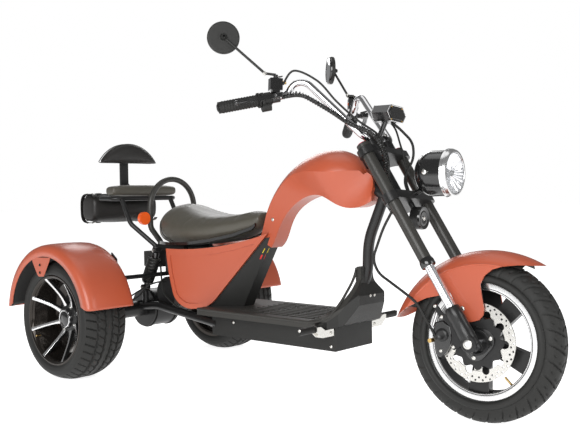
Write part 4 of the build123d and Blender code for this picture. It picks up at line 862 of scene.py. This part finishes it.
def add_seat():
    seat = stack("seat_pad", [seat_section(x) for x in SEAT_STEPS], "seat_vinyl", "chassis")
    swell(seat, 5, 3.5, 5, "seat_vinyl")
    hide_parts("seat")


def pillow(name, outline, way, thick, finish):
    """A closed pad: its outline in metres, crowned on both faces along way."""
    way = Vector(way).normalized()
    middle = sum(outline, Vector()) / len(outline)
    rings = [[middle + (p - middle) * size + way * share * thick / 2 * MM for p in outline]
             for share, size in PILLOW_STEPS]
    return stack(name, rings, finish, "chassis")


def resample(points, count):
    points = [Vector(p) for p in points]
    lengths = [0.0]
    for i in range(len(points)):
        lengths.append(lengths[-1] + (points[(i + 1) % len(points)] - points[i]).length)
    line = []
    for k in range(count):
        want = lengths[-1] * k / count
        i = max(j for j in range(len(points)) if lengths[j] <= want + 1e-12)
        share = (want - lengths[i]) / max(lengths[i + 1] - lengths[i], 1e-12)
        line.append(points[i].lerp(points[(i + 1) % len(points)], share))
    return line


def add_backrest():
    """The D-shaped pad, with a piped seam round each face."""
    arc = arc_through((134, 784), (0, 859), (-134, 784), 30)
    flat = [(-134 + 268 * k / 20, 783.0) for k in range(1, 20)]
    outline = resample([spot(-158, y, z) for y, z in arc + flat], 72)
    pad = pillow("backrest_cushion", outline, (1, 0, 0), 44, "black_vinyl")
    swell(pad, 5, 3.5, 4, "black_vinyl")
    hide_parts("backrest_pad")
    middle = sum(outline, Vector()) / len(outline)
    for x, tag in ((8, "front"), (-14, "back")):
        line = [middle + (p - middle) * 0.992 + Vector((x * MM, 0, 0)) for p in outline]
        tube("backrest_piping_" + tag, line, 1.7, "black_vinyl", "chassis", 8, closed=True)


def squircle(turn, power, half_x, half_z):
    """A point on a rounded rectangle's outline, at a turn round its middle."""
    c, s = math.cos(turn), math.sin(turn)
    return math.copysign(abs(c) ** power, c) * half_x, math.copysign(abs(s) ** power, s) * half_z


def rounded_box(x, half_wide, z, power, finish, name, steps=26):
    """A soft block: sections across Y whose corners are rounded and whose ends close in."""
    rings = []
    for k in range(steps + 1):
        share = -1 + 2 * k / steps
        side = math.sin(share * math.pi / 2)
        shrink = (1 - abs(side) ** 9) ** (1 / 3)
        size = 0.55 + 0.45 * shrink if abs(side) < 1 else 0.5
        ring = []
        for j in range(40):
            px, pz = squircle(2 * math.pi * j / 40, power, (x[1] - x[0]) / 2 * size, (z[1] - z[0]) / 2 * size)
            ring.append(spot((x[0] + x[1]) / 2 + px, half_wide * side, (z[0] + z[1]) / 2 + pz))
        rings.append(ring)
    return stack(name, rings, finish, "chassis")


def bag_ring(y, grow, start, end, count=28):
    """Points over the bag's section at one side place, between two turns in degrees from the front."""
    line = []
    for k in range(count + 1):
        px, pz = squircle(math.radians(start + (end - start) * k / count), 0.62, 48 + grow, 54.5 + grow)
        line.append(spot(-216 + px, y, 602.5 + pz))
    return line


def band(name, line, way, wide, thick, finish, body="chassis"):
    """A flat strap along a line: wide across way, thick away from the line's own side."""
    way = Vector(way).normalized()
    rings = []
    for i, point in enumerate(line):
        ahead = (line[min(i + 1, len(line) - 1)] - line[max(i - 1, 0)]).normalized()
        out = ahead.cross(way).normalized()
        half, lift = way * wide / 2 * MM, out * thick / 2 * MM
        rings.append([point - half - lift, point + half - lift, point + half + lift, point - half + lift])
    return stack(name, rings, finish, body)


add_seat()
add_backrest()
roll = rounded_box((-106, -42), 156, (650.5, 689), 0.6, "seat_vinyl", "rack_pad")
swell(roll, 5, 3.5, 3, "seat_vinyl")
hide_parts("rack_cushion")
bag = rounded_box((-264, -168), 157, (548, 657), 0.62, "black_vinyl", "tail_bag_body", 34)
swell(bag, 5, 3.0, 4, "black_vinyl")
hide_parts("tail_bag")
for y in (-96, 96):
    band(f"bag_strap_{y}", bag_ring(y, 4.5, 92, 262), (0, 1, 0), 20, 2.4, "black_vinyl")
for y, tag in ((-148, "right"), (148, "left")):
    band("bag_end_band_" + tag, bag_ring(y, 2.6, 40, 320, 60), (0, 1, 0), 15, 2.4, "black_vinyl")
    studs = bag_ring(y, 4.6, 60, 300, 12)
    centre = spot(-216, y, 602.5)
    at_places("bag_studs_" + tag, bolt_piece(3.2, 2), [(p, p - centre) for p in studs], "steel", "chassis")
lid = [bag_ring(y, 2.6, 75, 236, 22) for y in (-138, -70, 0, 70, 138)]
lid_verts = [v for row in lid for v in row]
flap = add_piece("bag_lid", lid_verts, grid_faces(len(lid), len(lid[0])), "black_vinyl", "chassis")
thicken(flap, 2.6)
print("soft goods done")

# %% [markdown]
# The fork's finer things: black castings round the slider feet, seals, caps and the axle's nuts,
# dark sheets of painted shade inside the fender's ears and under its crown, the caliper over the
# disc, and a coil of spiral wrap round the wiring loom.

# %% Fork trim
def lathe_between(name, start, end, profile, finish, body, steps=48):
    """A turned form whose (along, radius) profile, in millimetres, starts at start and aims at end."""
    return lathe(name, profile, facing(start, Vector(end) - Vector(start)), finish, body, steps)


# Each leg's turned pieces: name, height along the leg, finish and (along, radius) profile
LEG_PIECES = (
    ("slider_casting_", -24, "black_paint",
     ((0, 14), (0, 20), (4, 22.5), (60, 23), (98, 21.8), (100, 22.8), (132, 21.6), (136, 20), (138, 15))),
    ("fork_seal_", 250, "gloss_black",
     ((-6, 14.2), (-6, 20.5), (-3, 22), (10, 22), (14, 20.5), (20, 18.7), (20, 18))),
    ("fork_cap_", 667, "fork_cap", ((0, 0.01), (0, 16), (3, 16), (4, 14), (4, 7), (6, 6.5), (6, 0.01))),
)
# The axle's pieces outside each leg: name, gap from the leg's middle, finish, steps and profile
AXLE_PIECES = (
    ("axle_boss_", 5, "black_paint", 48, ((0, 8), (0, 21), (2, 23), (14, 23), (16, 21), (16, 8))),
    ("axle_nut_", 21, "steel", 24, ((0, 0.01), (0, 13), (5, 13), (6.5, 11), (6.5, 8), (4, 7), (4, 0.01))),
)
LEG_SIDE = 103
for sign, tag in ((-1, "right"), (1, "left")):
    side = sign * LEG_SIDE
    for name, height, finish, profile in LEG_PIECES:
        low, high = fork_spot(side, 0, height), fork_spot(side, 0, height + 50)
        lathe_between(name + tag, low, high, profile, finish, "fork")
    for name, gap, finish, steps, profile in AXLE_PIECES:
        inner, outer = fork_spot(side + sign * gap, 0, 0), fork_spot(side + sign * (gap + 39), 0, 0)
        lathe_between(name + tag, inner, outer, profile, finish, "fork", steps)

# The fender's middle and the outline of its ears, as (ahead of the legs, height along them)
FENDER_MIDDLE = (-19.3, -59.7)
EAR_SHADE_OUTLINE = ((-100, 186), (-71, 182), (-34, 169), (1, 158), (-5, 78), (4, 64.5), (18, 56), (38, 50.5), (55, 55),
              (66.5, 70), (77.5, 99), (92, 132), (117, 146.5), (145, 149.5), (174, 141.5), (190, 133))
# Across and radius of the dark sheet of painted shade under the fender's crown
ROOF = ((-52, 284), (-40, 293), (-20, 302), (0, 305), (20, 302), (40, 293), (52, 284))


def fender_point(turn_deg, radius):
    turn = math.radians(turn_deg)
    return FENDER_MIDDLE[0] + radius * math.cos(turn), FENDER_MIDDLE[1] + radius * math.sin(turn)


roof_arc = [fender_point(turn, 282) for turn in range(44, 108, 5)]
# Dark sheets inside the fender's ears: painted shade on their inner faces
for sign, tag in ((-1, "right"), (1, "left")):
    outline = [fork_spot(sign * 63.6, a, b) for a, b in list(EAR_SHADE_OUTLINE) + roof_arc]
    plate("ear_lining_" + tag, outline, fork_way(-sign, 0, 0), 0.8, "dark_plastic", "fork", 0.2)
# A dark sheet under the fender's crown: painted shade
roof_points = [fork_spot(across, *fender_point(turn, radius))
               for turn in range(36, 122, 2) for across, radius in ROOF]
roof_faces = grid_faces(len(roof_points) // len(ROOF), len(ROOF))
add_piece("fender_roof_lining", roof_points, roof_faces, "dark_plastic", "fork")
fender_bolts = [(fork_spot(sign * 68.2, 11, 100), fork_way(sign, 0, 0)) for sign in (-1, 1)]
at_places("fender_bolts", bolt_piece(7.5, 4), fender_bolts, "steel", "fork")

# The caliper and its carrier, as (ahead of the legs, height along them)
CALIPER = ((-78, 108), (-55, 101), (-42, 74), (-56, 41), (-80, 25), (-95, 18), (-115, 14), (-123, 20), (-120, 39),
           (-112, 63), (-101, 87))
CARRIER = ((-44, 152), (-56, 150), (-57, 112), (-48, 98), (-40, 74), (-50, 46), (-66, 26), (-66, 12), (-24, 10),
           (-24, 104), (-40, 114))
BRIDGE_TURNS = [math.radians(12 + 4 * k) for k in range(11)]
BRIDGE = ([(-128 * math.cos(t), 128 * math.sin(t)) for t in BRIDGE_TURNS]
          + [(-114 * math.cos(t), 114 * math.sin(t)) for t in reversed(BRIDGE_TURNS)])
BULGE = ((0, 0.01), (0, 19), (3, 19), (6, 16), (7, 12), (5.5, 10), (5.5, 0.01))
outward = fork_way(-1, 0, 0)


def caliper_plate(name, outline, side, thick, finish, rim):
    """A plate whose inner face lies at side, and that grows away from the wheel."""
    return plate(name, [fork_spot(side, a, b) for a, b in outline], outward, thick, finish, "fork", rim)


caliper = caliper_plate("caliper_outer", CALIPER, -63.5, 14, "gloss_black", 4)
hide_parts("front_caliper")
caliper_plate("caliper_inner", CALIPER, -44, 9, "gloss_black", 2)
caliper_plate("caliper_bridge", BRIDGE, -44, 32, "gloss_black", 2)
caliper_plate("caliper_carrier", CARRIER, -80, 6, "black_paint", 1.5)
lathe_between("caliper_bulge", fork_spot(-77.4, -78, 66), fork_spot(-120, -78, 66), BULGE, "black_paint", "fork")
rod("caliper_arm", fork_spot(-70, -50, 138), fork_spot(-70, -92, 104), 4.2, "alloy", "fork")
rod("caliper_arm_hook", fork_spot(-70, -92, 104), fork_spot(-72, -90, 92), 3.4, "alloy", "fork")
rod("caliper_banjo", fork_spot(-88, -116, 69), fork_spot(-66, -116, 69), 6, "brass", "fork")
caliper_bolts = [(fork_spot(*place), outward)
                 for place in ((-86.2, -50, 144), (-86.2, -48, 108), (-86.2, -60, 20), (-77.6, -104, 30))]
at_places("caliper_bolts", bolt_piece(5.4, 4), caliper_bolts, "steel", "fork")


def helix(line, radius, pitch, steps=14):
    """Points of a coil round a line, all in metres except the millimetre sizes."""
    points, run, normal = [], 0.0, None
    for i in range(len(line) - 1):
        way = line[i + 1] - line[i]
        length = way.length
        way.normalize()
        normal = way.orthogonal() if normal is None else normal - way * normal.dot(way)
        normal.normalize()
        other = way.cross(normal)
        count = max(int(length / (pitch * MM) * steps), 1)
        for k in range(count):
            turn = 2 * math.pi * run / (pitch * MM)
            out = normal * math.cos(turn) + other * math.sin(turn)
            points.append(line[i] + way * length * k / count + out * radius * MM)
            run += length / count
    return points


# Routes of the fork's leads, as (side, ahead of the legs, height along them)
LOOM = ((-226, -104, 902), (-205, -76, 894), (-190, -57, 882), (-150, -19, 801), (-118, 6, 737), (-92, 36, 690),
        (-86, 42, 650), (-82, 38, 610), (-60, 14, 580), (-46, -2, 555))
HOSE = ((-212, -88, 940), (-196, -40, 960), (-160, -4, 900), (-132, 6, 820), (-110, 26, 740), (-70, 44, 680),
        (-62, 40, 640), (-58, 30, 596), (-60, 0, 540), (-58, -14, 492))
THROTTLE = ((212, -92, 905), (170, -30, 860), (130, 10, 790), (70, 46, 720), (50, 44, 660), (46, 30, 600),
            (40, 4, 540), (40, -6, 492))
loom_line, hose_line, throttle_line = (smooth_line([fork_spot(*p) for p in route], 10)
                                       for route in (LOOM, HOSE, THROTTLE))
tube("loom_wrap", helix(loom_line, 6.6, 9, 12), 1.7, "gloss_black", "fork", 6)
tube("master_hose", hose_line, 3.2, "soft_rubber", "fork")
tube("throttle_lead", throttle_line, 3.0, "soft_rubber", "fork")
print("fork trim done")

# %% [markdown]
# The headlight has a faceted bowl and a bulb behind its clear cover, a rim bead and a rear seam.
# The instrument pod has a bright rim and a screen for the rider, and the mirrors have real glass.

# %% Lamp, instruments and mirrors
STRAIGHT_AHEAD = PARK.to_3x3() @ Vector((1, 0, 0))
UPRIGHT = PARK.to_3x3() @ Vector((0, 0, 1))
lamp_face = PARK @ spot(1336, 0, 704)
lamp_place = facing(lamp_face, STRAIGHT_AHEAD)
bowl = []
BOWL = ((15, 59), (12, 50), (8, 40), (5, 30), (3, 20), (1.5, 11), (1.0, 1))
for across, radius in BOWL:
    for k in range(64):
        turn = 2 * math.pi * k / 64
        lift = 1.6 * (k % 4 == 0) + 0.6 * (k % 4 == 2)
        across_here = across + lift * (radius > 8)
        bowl.append(lamp_place @ (Vector((radius * math.cos(turn), across_here, radius * math.sin(turn))) * MM))
add_piece("lamp_bowl", bowl, grid_faces(len(BOWL), 64, False, True), "reflector", "fork", smooth=False)
lathe("lamp_bulb", [(1, 0.01), (1, 9), (8, 9), (13, 6), (15, 0.01)], lamp_place, "gloss_black", "fork", 32)
bead = [(17, 60), (19.2, 61), (19.6, 64), (18, 68.5), (10, 71.8), (0, 72.6), (0, 71.5), (9, 70.5), (17, 66)]
lathe("lamp_rim_bead", bead, lamp_place, "alloy", "fork")
lathe("lamp_gap", [(-3, 67), (-3, 69.5), (-1, 70.2), (0.2, 69.5), (0.2, 67)], lamp_place, "soft_rubber", "fork")
for side in (-1, 1):
    middle = PARK @ spot(1290, side * 69, 704)
    nut = [(0, 0.01), (0, 8), (5, 8), (6.5, 6), (6.5, 0.01)]
    lathe("lamp_pivot", nut, facing(middle, PARK.to_3x3() @ Vector((0, side, 0))), "steel", "fork", 20)

pod = fork_spot(0, 78, 738)
side_way = PARK.to_3x3() @ Vector((0, 1, 0))
HEXAGON = ((56, 0), (37, 24), (-37, 24), (-56, 0), (-37, -24), (37, -24))


def on_pod(across, high, ahead):
    return pod + side_way * across * MM + UPRIGHT * high * MM + STRAIGHT_AHEAD * ahead * MM


for ahead, tag in ((29, "front"), (-29, "rear")):
    corners = resample([on_pod(a * 0.985, h * 0.985, ahead) for a, h in HEXAGON], 60)
    tube("pod_rim_" + tag, corners, 1.7, "alloy", "fork", 8, closed=True)
display_glass = [on_pod(a * 0.8, h * 0.75, -29.2) for a, h in HEXAGON]
plate("pod_screen", display_glass, -STRAIGHT_AHEAD, 1.0, "screen", "fork", 0.3)
pod_front = [on_pod(a * 0.82, h * 0.72, 28.8) for a, h in HEXAGON]
plate("pod_nose", pod_front, STRAIGHT_AHEAD, 2.2, "gloss_black", "fork", 1)
screws = [(on_pod(a * 0.86, h * 0.8, 29.4), STRAIGHT_AHEAD) for a, h in HEXAGON[1:3] + HEXAGON[4:]]
at_places("pod_screws", bolt_piece(2.6, 1.8), screws, "brass", "fork")

# A mirror's turned pieces round its own axis: name, finish, steps, whether it faces the rider, profile
MIRROR_PIECES = (
    ("mirror_glass_", "mirror_glass", 64, 1, ((18.1, 0.01), (18.1, 44), (18.8, 44), (19.2, 42), (19.4, 0.01))),
    ("mirror_bezel_", "gloss_black", 64, 1, ((17, 45), (19.4, 44.6), (19.8, 47), (18, 49.2), (13, 50.4), (13, 48))),
    ("mirror_boot_", "soft_rubber", 32, -1, ((-6, 4), (-6, 9), (2, 11), (10, 8), (16, 5), (16, 4))),
)
MIRROR_NUT = ((-5, 3.8), (-5, 6.5), (5, 6.5), (5, 3.8))
for side, tag in ((1, "left"), (-1, "right")):
    centre = fork_spot(side * 302, -146, 1152)
    face = PARK.to_3x3() @ Vector((-math.cos(math.pi / 4), -side * math.sin(math.pi / 4), 0))
    for name, finish, steps, sign, profile in MIRROR_PIECES:
        lathe(name + tag, profile, facing(centre, face * sign), finish, "fork", steps)
    knee = fork_spot(side * 234, -113, 999)
    lathe_between("mirror_nut_" + tag, knee, centre, MIRROR_NUT, "steel", "fork", 6)
horn_place = facing(fork_spot(0, 0, 410), STRAIGHT_AHEAD)
HORN_FACE = ((15, 6), (16.5, 10), (15.5, 14), (17, 18), (15.5, 23), (17.5, 28), (17.5, 33.5), (12, 35), (12, 6))
HORN_MIDDLE = ((15, 0.01), (18, 4), (17.5, 7), (15, 7.5), (14, 0.01))
lathe("horn_face", HORN_FACE, horn_place, "gloss_black", "fork", 64)
lathe("horn_middle", HORN_MIDDLE, horn_place, "steel", "fork", 32)
print("lamp and mirrors done")

# %% [markdown]
# On the bar: ribbed grips, switch buttons, reservoir caps with their screws, the levers' blades
# and the clamps' bolts. The grips' line is the handlebar's last straight run.

# %% Controls
def bar_spot(side, back, ahead=0.0, up=0.0):
    """A point off the grip's line: back from its end, ahead of it and above it, in millimetres."""
    end, start = fork_spot(side * 350, -240, 943), fork_spot(side * 190, -102, 915)
    along = (end - start).normalized()
    forward = along.cross(UPRIGHT).normalized()
    forward = forward if forward.dot(STRAIGHT_AHEAD) > 0 else -forward
    return end - along * back * MM + forward * ahead * MM + UPRIGHT * up * MM


def bar_box(name, side, back, ahead, up, finish, rim=1.5):
    """A block in the bar's own directions, from spans of (low, high) millimetres."""
    around = ((back[0], ahead[0]), (back[1], ahead[0]), (back[1], ahead[1]), (back[0], ahead[1]))
    corners = [bar_spot(side, b, a, up[0]) for b, a in around]
    return plate(name, corners, UPRIGHT, up[1] - up[0], finish, "fork", rim)


for side, tag in ((1, "left"), (-1, "right")):
    wave = [(6 + k * 2.2, 18.6 if k % 4 in (1, 2) else 17.4) for k in range(52)]
    wave = [(3, 17.2), *wave, (122, 17.2), (122, 16), (3, 16)]
    start, end = bar_spot(side, 0), bar_spot(side, 100)
    lathe_between("grip_ribs_" + tag, start, end, wave, "soft_rubber", "fork", 40)
    plug = [(-4.2, 0.01), (-4.2, 11), (-6.5, 12), (-8.5, 9), (-8.5, 0.01)]
    lathe_between("bar_end_" + tag, start, end, plug, "soft_rubber", "fork", 24)
    bar_box("reservoir_cap_" + tag, side, (155, 193), (-17, 17), (57.2, 61), "gloss_black")
    caps = [(bar_spot(side, back, 0, 61), UPRIGHT) for back in (161, 187)]
    at_places("reservoir_screws_" + tag, bolt_piece(3, 2), caps, "brass", "fork")
    window = bar_spot(side, 174, -17.2, 40)
    aft = (bar_spot(side, 174, -40, 40) - window).normalized()
    lathe("reservoir_window_" + tag, [(0, 0.01), (0, 5), (1.5, 5), (2, 0.01)], facing(window, aft), "amber", "fork", 20)
    blade = [bar_spot(side, 174 - d, 46 + lift, 0) for d, lift in ((0, 0), (20, 5), (60, 6), (100, 2), (128, 0))]
    band("lever_blade_" + tag, smooth_line(blade, 6), UPRIGHT, 13, 5, "gloss_black", "fork")
    bar_box("lever_hub_" + tag, side, (163, 187), (30, 54), (-8, 8), "gloss_black", 3)
    pod_bolts = [(bar_spot(side, back, 18), bar_spot(side, back, 60) - bar_spot(side, back, 18))
                 for back in (139, 153)]
    at_places("pod_bolts_" + tag, bolt_piece(2.6, 2), pod_bolts, "steel", "fork")
    collar = [(0, 11.3), (0, 21), (2, 22), (9, 22), (11, 20), (11, 11.3)]
    lathe_between("collar_" + tag, bar_spot(side, 128), bar_spot(side, 160), collar, "dark_plastic", "fork", 40)
rod("horn_button", bar_spot(1, 139, -18, 2), bar_spot(1, 139, -23, 3), 5, "sticker_yellow", "fork")
rod("start_button", bar_spot(-1, 146, -16, 8), bar_spot(-1, 146, -23, 12), 5, "sticker_red", "fork")
for side in (-46, 46):
    for ahead in (-6, 18):
        riser_bolt = [(-4, 0.01), (-4, 4), (3, 4), (4, 2.5), (4, 0.01)]
        lathe("riser_bolt", riser_bolt, facing(fork_spot(side, ahead, 709), FORK_UP), "steel", "fork", 16)
rod("banjo_right", bar_spot(-1, 196, 4, 40), bar_spot(-1, 206, 4, 40), 6, "brass", "fork")
print("controls done")

# %% [markdown]
# Bolts and blank stickers sit where the camera's ray through their place in the picture
# meets the surface, so that they lie on it exactly. Those on plain side faces are mirrored.

# %% Bolts and stickers
def through(px, py, lift=0.0):
    """Where the camera's ray through a picture point meets the object, and the surface's normal."""
    side, up, ahead = camera_axes(CAMERA_YAW, CAMERA_PITCH, CAMERA_ROLL)
    across = (px - PICTURE_WIDTH / 2 - AXIS_RIGHT) / FOCAL_PIXELS
    rise = (PICTURE_HEIGHT / 2 - AXIS_UP - py) / FOCAL_PIXELS
    way = (ahead + side * across + up * rise).normalized()
    depsgraph = bpy.context.evaluated_depsgraph_get()
    hit, place, normal = scene.ray_cast(depsgraph, CAMERA_PLACE, way)[:3]
    if not hit:
        raise ValueError(f"nothing behind {px}, {py}")
    normal = normal.normalized()
    if normal.dot(way) > 0:
        normal = -normal
    return place + normal * lift * MM, normal


def flip(vector):
    return Vector((vector.x, -vector.y, vector.z))


def mirrored_places(points):
    rows = [through(*point) for point in points]
    return rows + [(flip(place), flip(normal)) for place, normal in rows]


# Bolt heads, as places in the picture
BOX_BOLTS = ((233.6, 322.4), (299.6, 331), (331, 333), (331.3, 346.7))
TANK_BOLTS = ((272.8, 219.6),)
COVER_BOLTS = ((370.3, 295.4),)
at_places("box_bolts", bolt_piece(5, 3), mirrored_places(BOX_BOLTS), "steel", "chassis")
at_places("tank_bolts", bolt_piece(6, 3), mirrored_places(TANK_BOLTS), "steel", "chassis")
at_places("cover_bolts", bolt_piece(5, 3), mirrored_places(COVER_BOLTS), "steel", "chassis")


def sticker(name, centre, half_wide, half_high, slant, finish):
    """A thin blank label that follows the surface at its four corners."""
    corners = [through(centre[0] + a * half_wide + b * half_high * slant, centre[1] + b * half_high, 0.4)[0]
               for a, b in ((-1, 1), (1, 1), (1, -1), (-1, -1))]
    normal = (corners[1] - corners[0]).cross(corners[3] - corners[0]).normalized()
    if normal.dot(CAMERA_PLACE - corners[0]) < 0:
        normal = -normal
    plate(name, corners, normal, 0.5, finish, "chassis", 0.1)


sticker("label_yellow", (265.8, 250.6), 2.4, 2.3, -0.5, "sticker_yellow")
sticker("label_red", (262.6, 256.9), 2.2, 2.2, -0.4, "sticker_red")
print("bolts done")

# %% [markdown]
# The seat's black base strip and double seam, the deck's rolled edge and ribbed upright, coil
# springs with their dampers, the rear fenders with tab, lining and stay bolts, and the leads and
# ribs near the axle finish the chassis.

# %% Body trim
def mirrored_line(line):
    return [flip(p) for p in line]


def both_tubes(name, line, radius, finish, sides=8):
    tube(name + "_right", line, radius, finish, "chassis", sides)
    tube(name + "_left", mirrored_line(line), radius, finish, "chassis", sides)


def seat_line(x_from, x_to, height_share, grow, count=40):
    """A line along the saddle's right side, at a share of its side's height."""
    line = []
    for k in range(count + 1):
        x = x_from + (x_to - x_from) * k / count
        half, low = table_at(SEAT_HALF, x), table_at(SEAT_LOW, x)
        top = table_at(SEAT_TOP, x) - table_at(SEAT_EDGE_DROP, x)
        line.append(spot(x, -(half * (0.95 + 0.05 * height_share) + grow), low + (top - low) * height_share))
    return line


base = seat_line(160, 600, 0.06, -2.5)
rings = [[p + Vector((0, dy * MM, dz * MM)) for dy, dz in ((5, -5), (-2.5, -4.5), (-2.5, 6), (5, 6))] for p in base]
stack("seat_base_right", rings, "gloss_black", "chassis")
stack("seat_base_left", [[flip(p) for p in ring] for ring in rings], "gloss_black", "chassis")


def seat_seam(offset):
    """A stitched line down the saddle's right side, from its shoulder to its base."""
    line = []
    for k in range(15):
        share = k / 14
        x = 170 + offset + share * 72
        ring = seat_section(x, 0.6, 120)
        line.append(ring[int(52 + 24 * share)])
    return line


for offset, tag in ((0, "a"), (6, "b")):
    both_tubes("seat_seam_" + tag, seat_seam(offset), 0.9, "thread", 6)

DECK_EDGE = ((414, -149, 252), (560, -150, 252), (760, -150, 252), (920, -150, 252), (955, -146, 254), (985, -128, 266),
             (1000, -108, 290), (1009, -86, 316), (1014, -62, 346), (1017, -40, 374), (1018, -26, 398), (1018, -20, 414))
both_tubes("deck_edge", smooth_line([spot(x, y, z) for x, y, z in DECK_EDGE], 8), 4.2, "deck_rubber", 10)
for number, y in enumerate(range(-108, 109, 27)):
    top = 416 if abs(y) < 30 else 372 - (abs(y) - 27) * 0.95
    arc = [p for p in arc_through((925, 256), (1008.7, 311.9), (1018, 418), 40) if 262 < p[1] < top - 6]
    line = [spot(x - 0.6, y, z) for x, z in arc]
    if len(line) > 3:
        band(f"curve_rib_{number}", line, (0, 1, 0), 10, 3.4, "deck_rubber")


SHOCK_BODY = ((0, 0.01), (0, 9), (22, 9), (24, 21), (31, 23), (34, 15), (70, 14), (72, 11), (118, 11), (122, 22),
              (130, 22.5), (134, 15), (150, 14), (156, 9), (161, 8), (161, 0.01))
SHOCK_EYE = ((-9.6, 4), (-9.6, 12), (9.6, 12), (9.6, 4))
SHOCK_BOLT = ((0, 0.01), (0, 7), (5, 7), (6, 5), (6, 0.01))
SHOCK_BOLT_OUT = 15.2


def coil_spring(side, tag):
    """Spring, damper body, eyes and their bolts from the swing arm up to the tail rail."""
    top, foot = spot(118, side * 84, 444), spot(44, side * 84, 300)
    line = [foot.lerp(top, share) for share in (0.2, 0.5, 0.82)]
    tube("shock_spring_" + tag, helix(line, 20, 12.5, 18), 3.2, "satin_tube", "chassis", 8)
    lathe_between("shock_body_" + tag, foot, top, SHOCK_BODY, "gloss_black", "chassis", 32)
    for place, name in ((top, "top"), (foot, "foot")):
        lathe(f"shock_eye_{name}_{tag}", SHOCK_EYE, facing(place, (0, 1, 0)), "black_paint", "chassis", 32)
        bolt_place = facing(place + Vector((0, side * SHOCK_BOLT_OUT * MM, 0)), (0, side, 0))
        lathe(f"shock_bolt_{name}_{tag}", SHOCK_BOLT, bolt_place, "steel", "chassis", 6)


coil_spring(-1, "right")
coil_spring(1, "left")
REAR_FENDER_SECTION = ((-98, 224), (-98, 240), (-97, 248), (-93.5, 255.5), (-87, 261), (-76, 264.6), (-58, 266.6),
                       (-30, 267.6), (0, 268), (30, 267.6), (58, 266.6), (76, 264.6), (87, 261), (93.5, 255.5),
                       (97, 248), (98, 240), (98, 224))
REAR_FENDER_TAB = ((-98, 436), (-92, 419), (-64, 376), (-54, 368.4), (-23, 370), (12, 422), (20, 438))
STAY_BOLT = ((0, 0.01), (0, 6), (4, 6), (5, 4), (5, 0.01))


def fender_spot(side, radius, turn_deg, across):
    """A point round a rear fender's own middle."""
    turn = math.radians(turn_deg)
    return spot(-15 + radius * math.cos(turn), side * 381 + across, 217 + radius * math.sin(turn))


def rear_fender_skin(side, tag):
    """A pressed fender: flat crown, well rounded shoulders and skirts that round off at both ends."""
    verts = []
    for k in range(97):
        for across, radius in REAR_FENDER_SECTION:
            trim = 5.0 * ((268 - radius) / 44) ** 2
            verts.append(fender_spot(side, radius, 11 + trim + (174 - 11 - 2 * trim) * (k / 96), across))
    faces = grid_faces(97, len(REAR_FENDER_SECTION))
    obj = thicken(add_piece("rear_fender_skin_" + tag, verts, faces, "orange", "chassis"), 2.4)
    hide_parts("rear_fender_" + tag)


def rear_fender_trim(side, tag):
    """The fender's tab with its bolts, the lining under its crown, and the bolts of its stay."""
    tab = [spot(x, side * 476.4, z) for x, z in REAR_FENDER_TAB]
    plate("fender_tab_" + tag, tab, (0, side, 0), 2.2, "orange", "chassis", 0.6)
    tab_bolts = [(spot(-44, side * 478.8, z), (0, side, 0)) for z in (410, 383)]
    at_places("tab_bolts_" + tag, bolt_piece(5, 3), tab_bolts, "black_chrome", "chassis")
    shares = [a / 8 for a in range(-8, 9)]
    lining = [fender_spot(side, 261.2 - 22 * share * share, 12.5 + (172.5 - 12.5) * k / 60, share * 91)
              for k in range(61) for share in shares]
    thicken(add_piece("fender_lining_" + tag, lining, grid_faces(61, 17), "dark_plastic", "chassis"), 1.0)
    for x in (104, 126):
        lathe("stay_bolt", STAY_BOLT, facing(spot(x, side * 271.8, 504 - x), (0, -side, 0)), "steel", "chassis", 6)


for side, tag in ((1, "left"), (-1, "right")):
    rear_fender_skin(side, tag)
    rear_fender_trim(side, tag)
WIRES = (((150, -60, 330), (120, -110, 320), (70, -140, 290), (20, -150, 262), (-10, -160, 248)),
         ((88, -50, 420), (120, -70, 380), (150, -90, 330), (180, -100, 280), (250, -98, 240)),
         ((60, -46, 400), (90, -90, 340), (60, -130, 270), (0, -170, 243)))
for number, route in enumerate(WIRES):
    line = smooth_line([spot(*p) for p in route], 8)
    both_tubes(f"axle_lead_{number}", line, 3.2, "soft_rubber", 8)


def ring_rib(name, x, z, start, width, radius, steps):
    """A flat rib round a housing whose axis runs across the trike, 5 mm high from its foot's radius."""
    profile = [(start, radius), (start, radius + 5), (start + width, radius + 5), (start + width, radius)]
    lathe(name, profile, facing(spot(x, 0, z), (0, 1, 0)), "black_paint", "chassis", steps)


ring_rib("gear_case_rib", 0, 215, -50, 6, 71, 64)
ring_rib("gear_case_rib_far", 0, 215, 44, 6, 71, 64)
for k in range(9):
    ring_rib("motor_fin", 150, 284, -60 + k * 14, 4, 55, 48)
print("body trim done")

# %% [markdown]
# The floor is one pale sheet. It and the lamps aren't part of the object.

# %% The floor
floor_corners = [(a * FLOOR_HALF, b * FLOOR_HALF, 0) for a, b in ((-1, -1), (1, -1), (1, 1), (-1, 1))]
floor = add_piece("floor", floor_corners, [(0, 1, 2, 3)], "floor", None, smooth=False)
floor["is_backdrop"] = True

# %% The last lines
size = {"cad": [list(corner) for corner in cad_box], "visual": [list(corner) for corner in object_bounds()]}
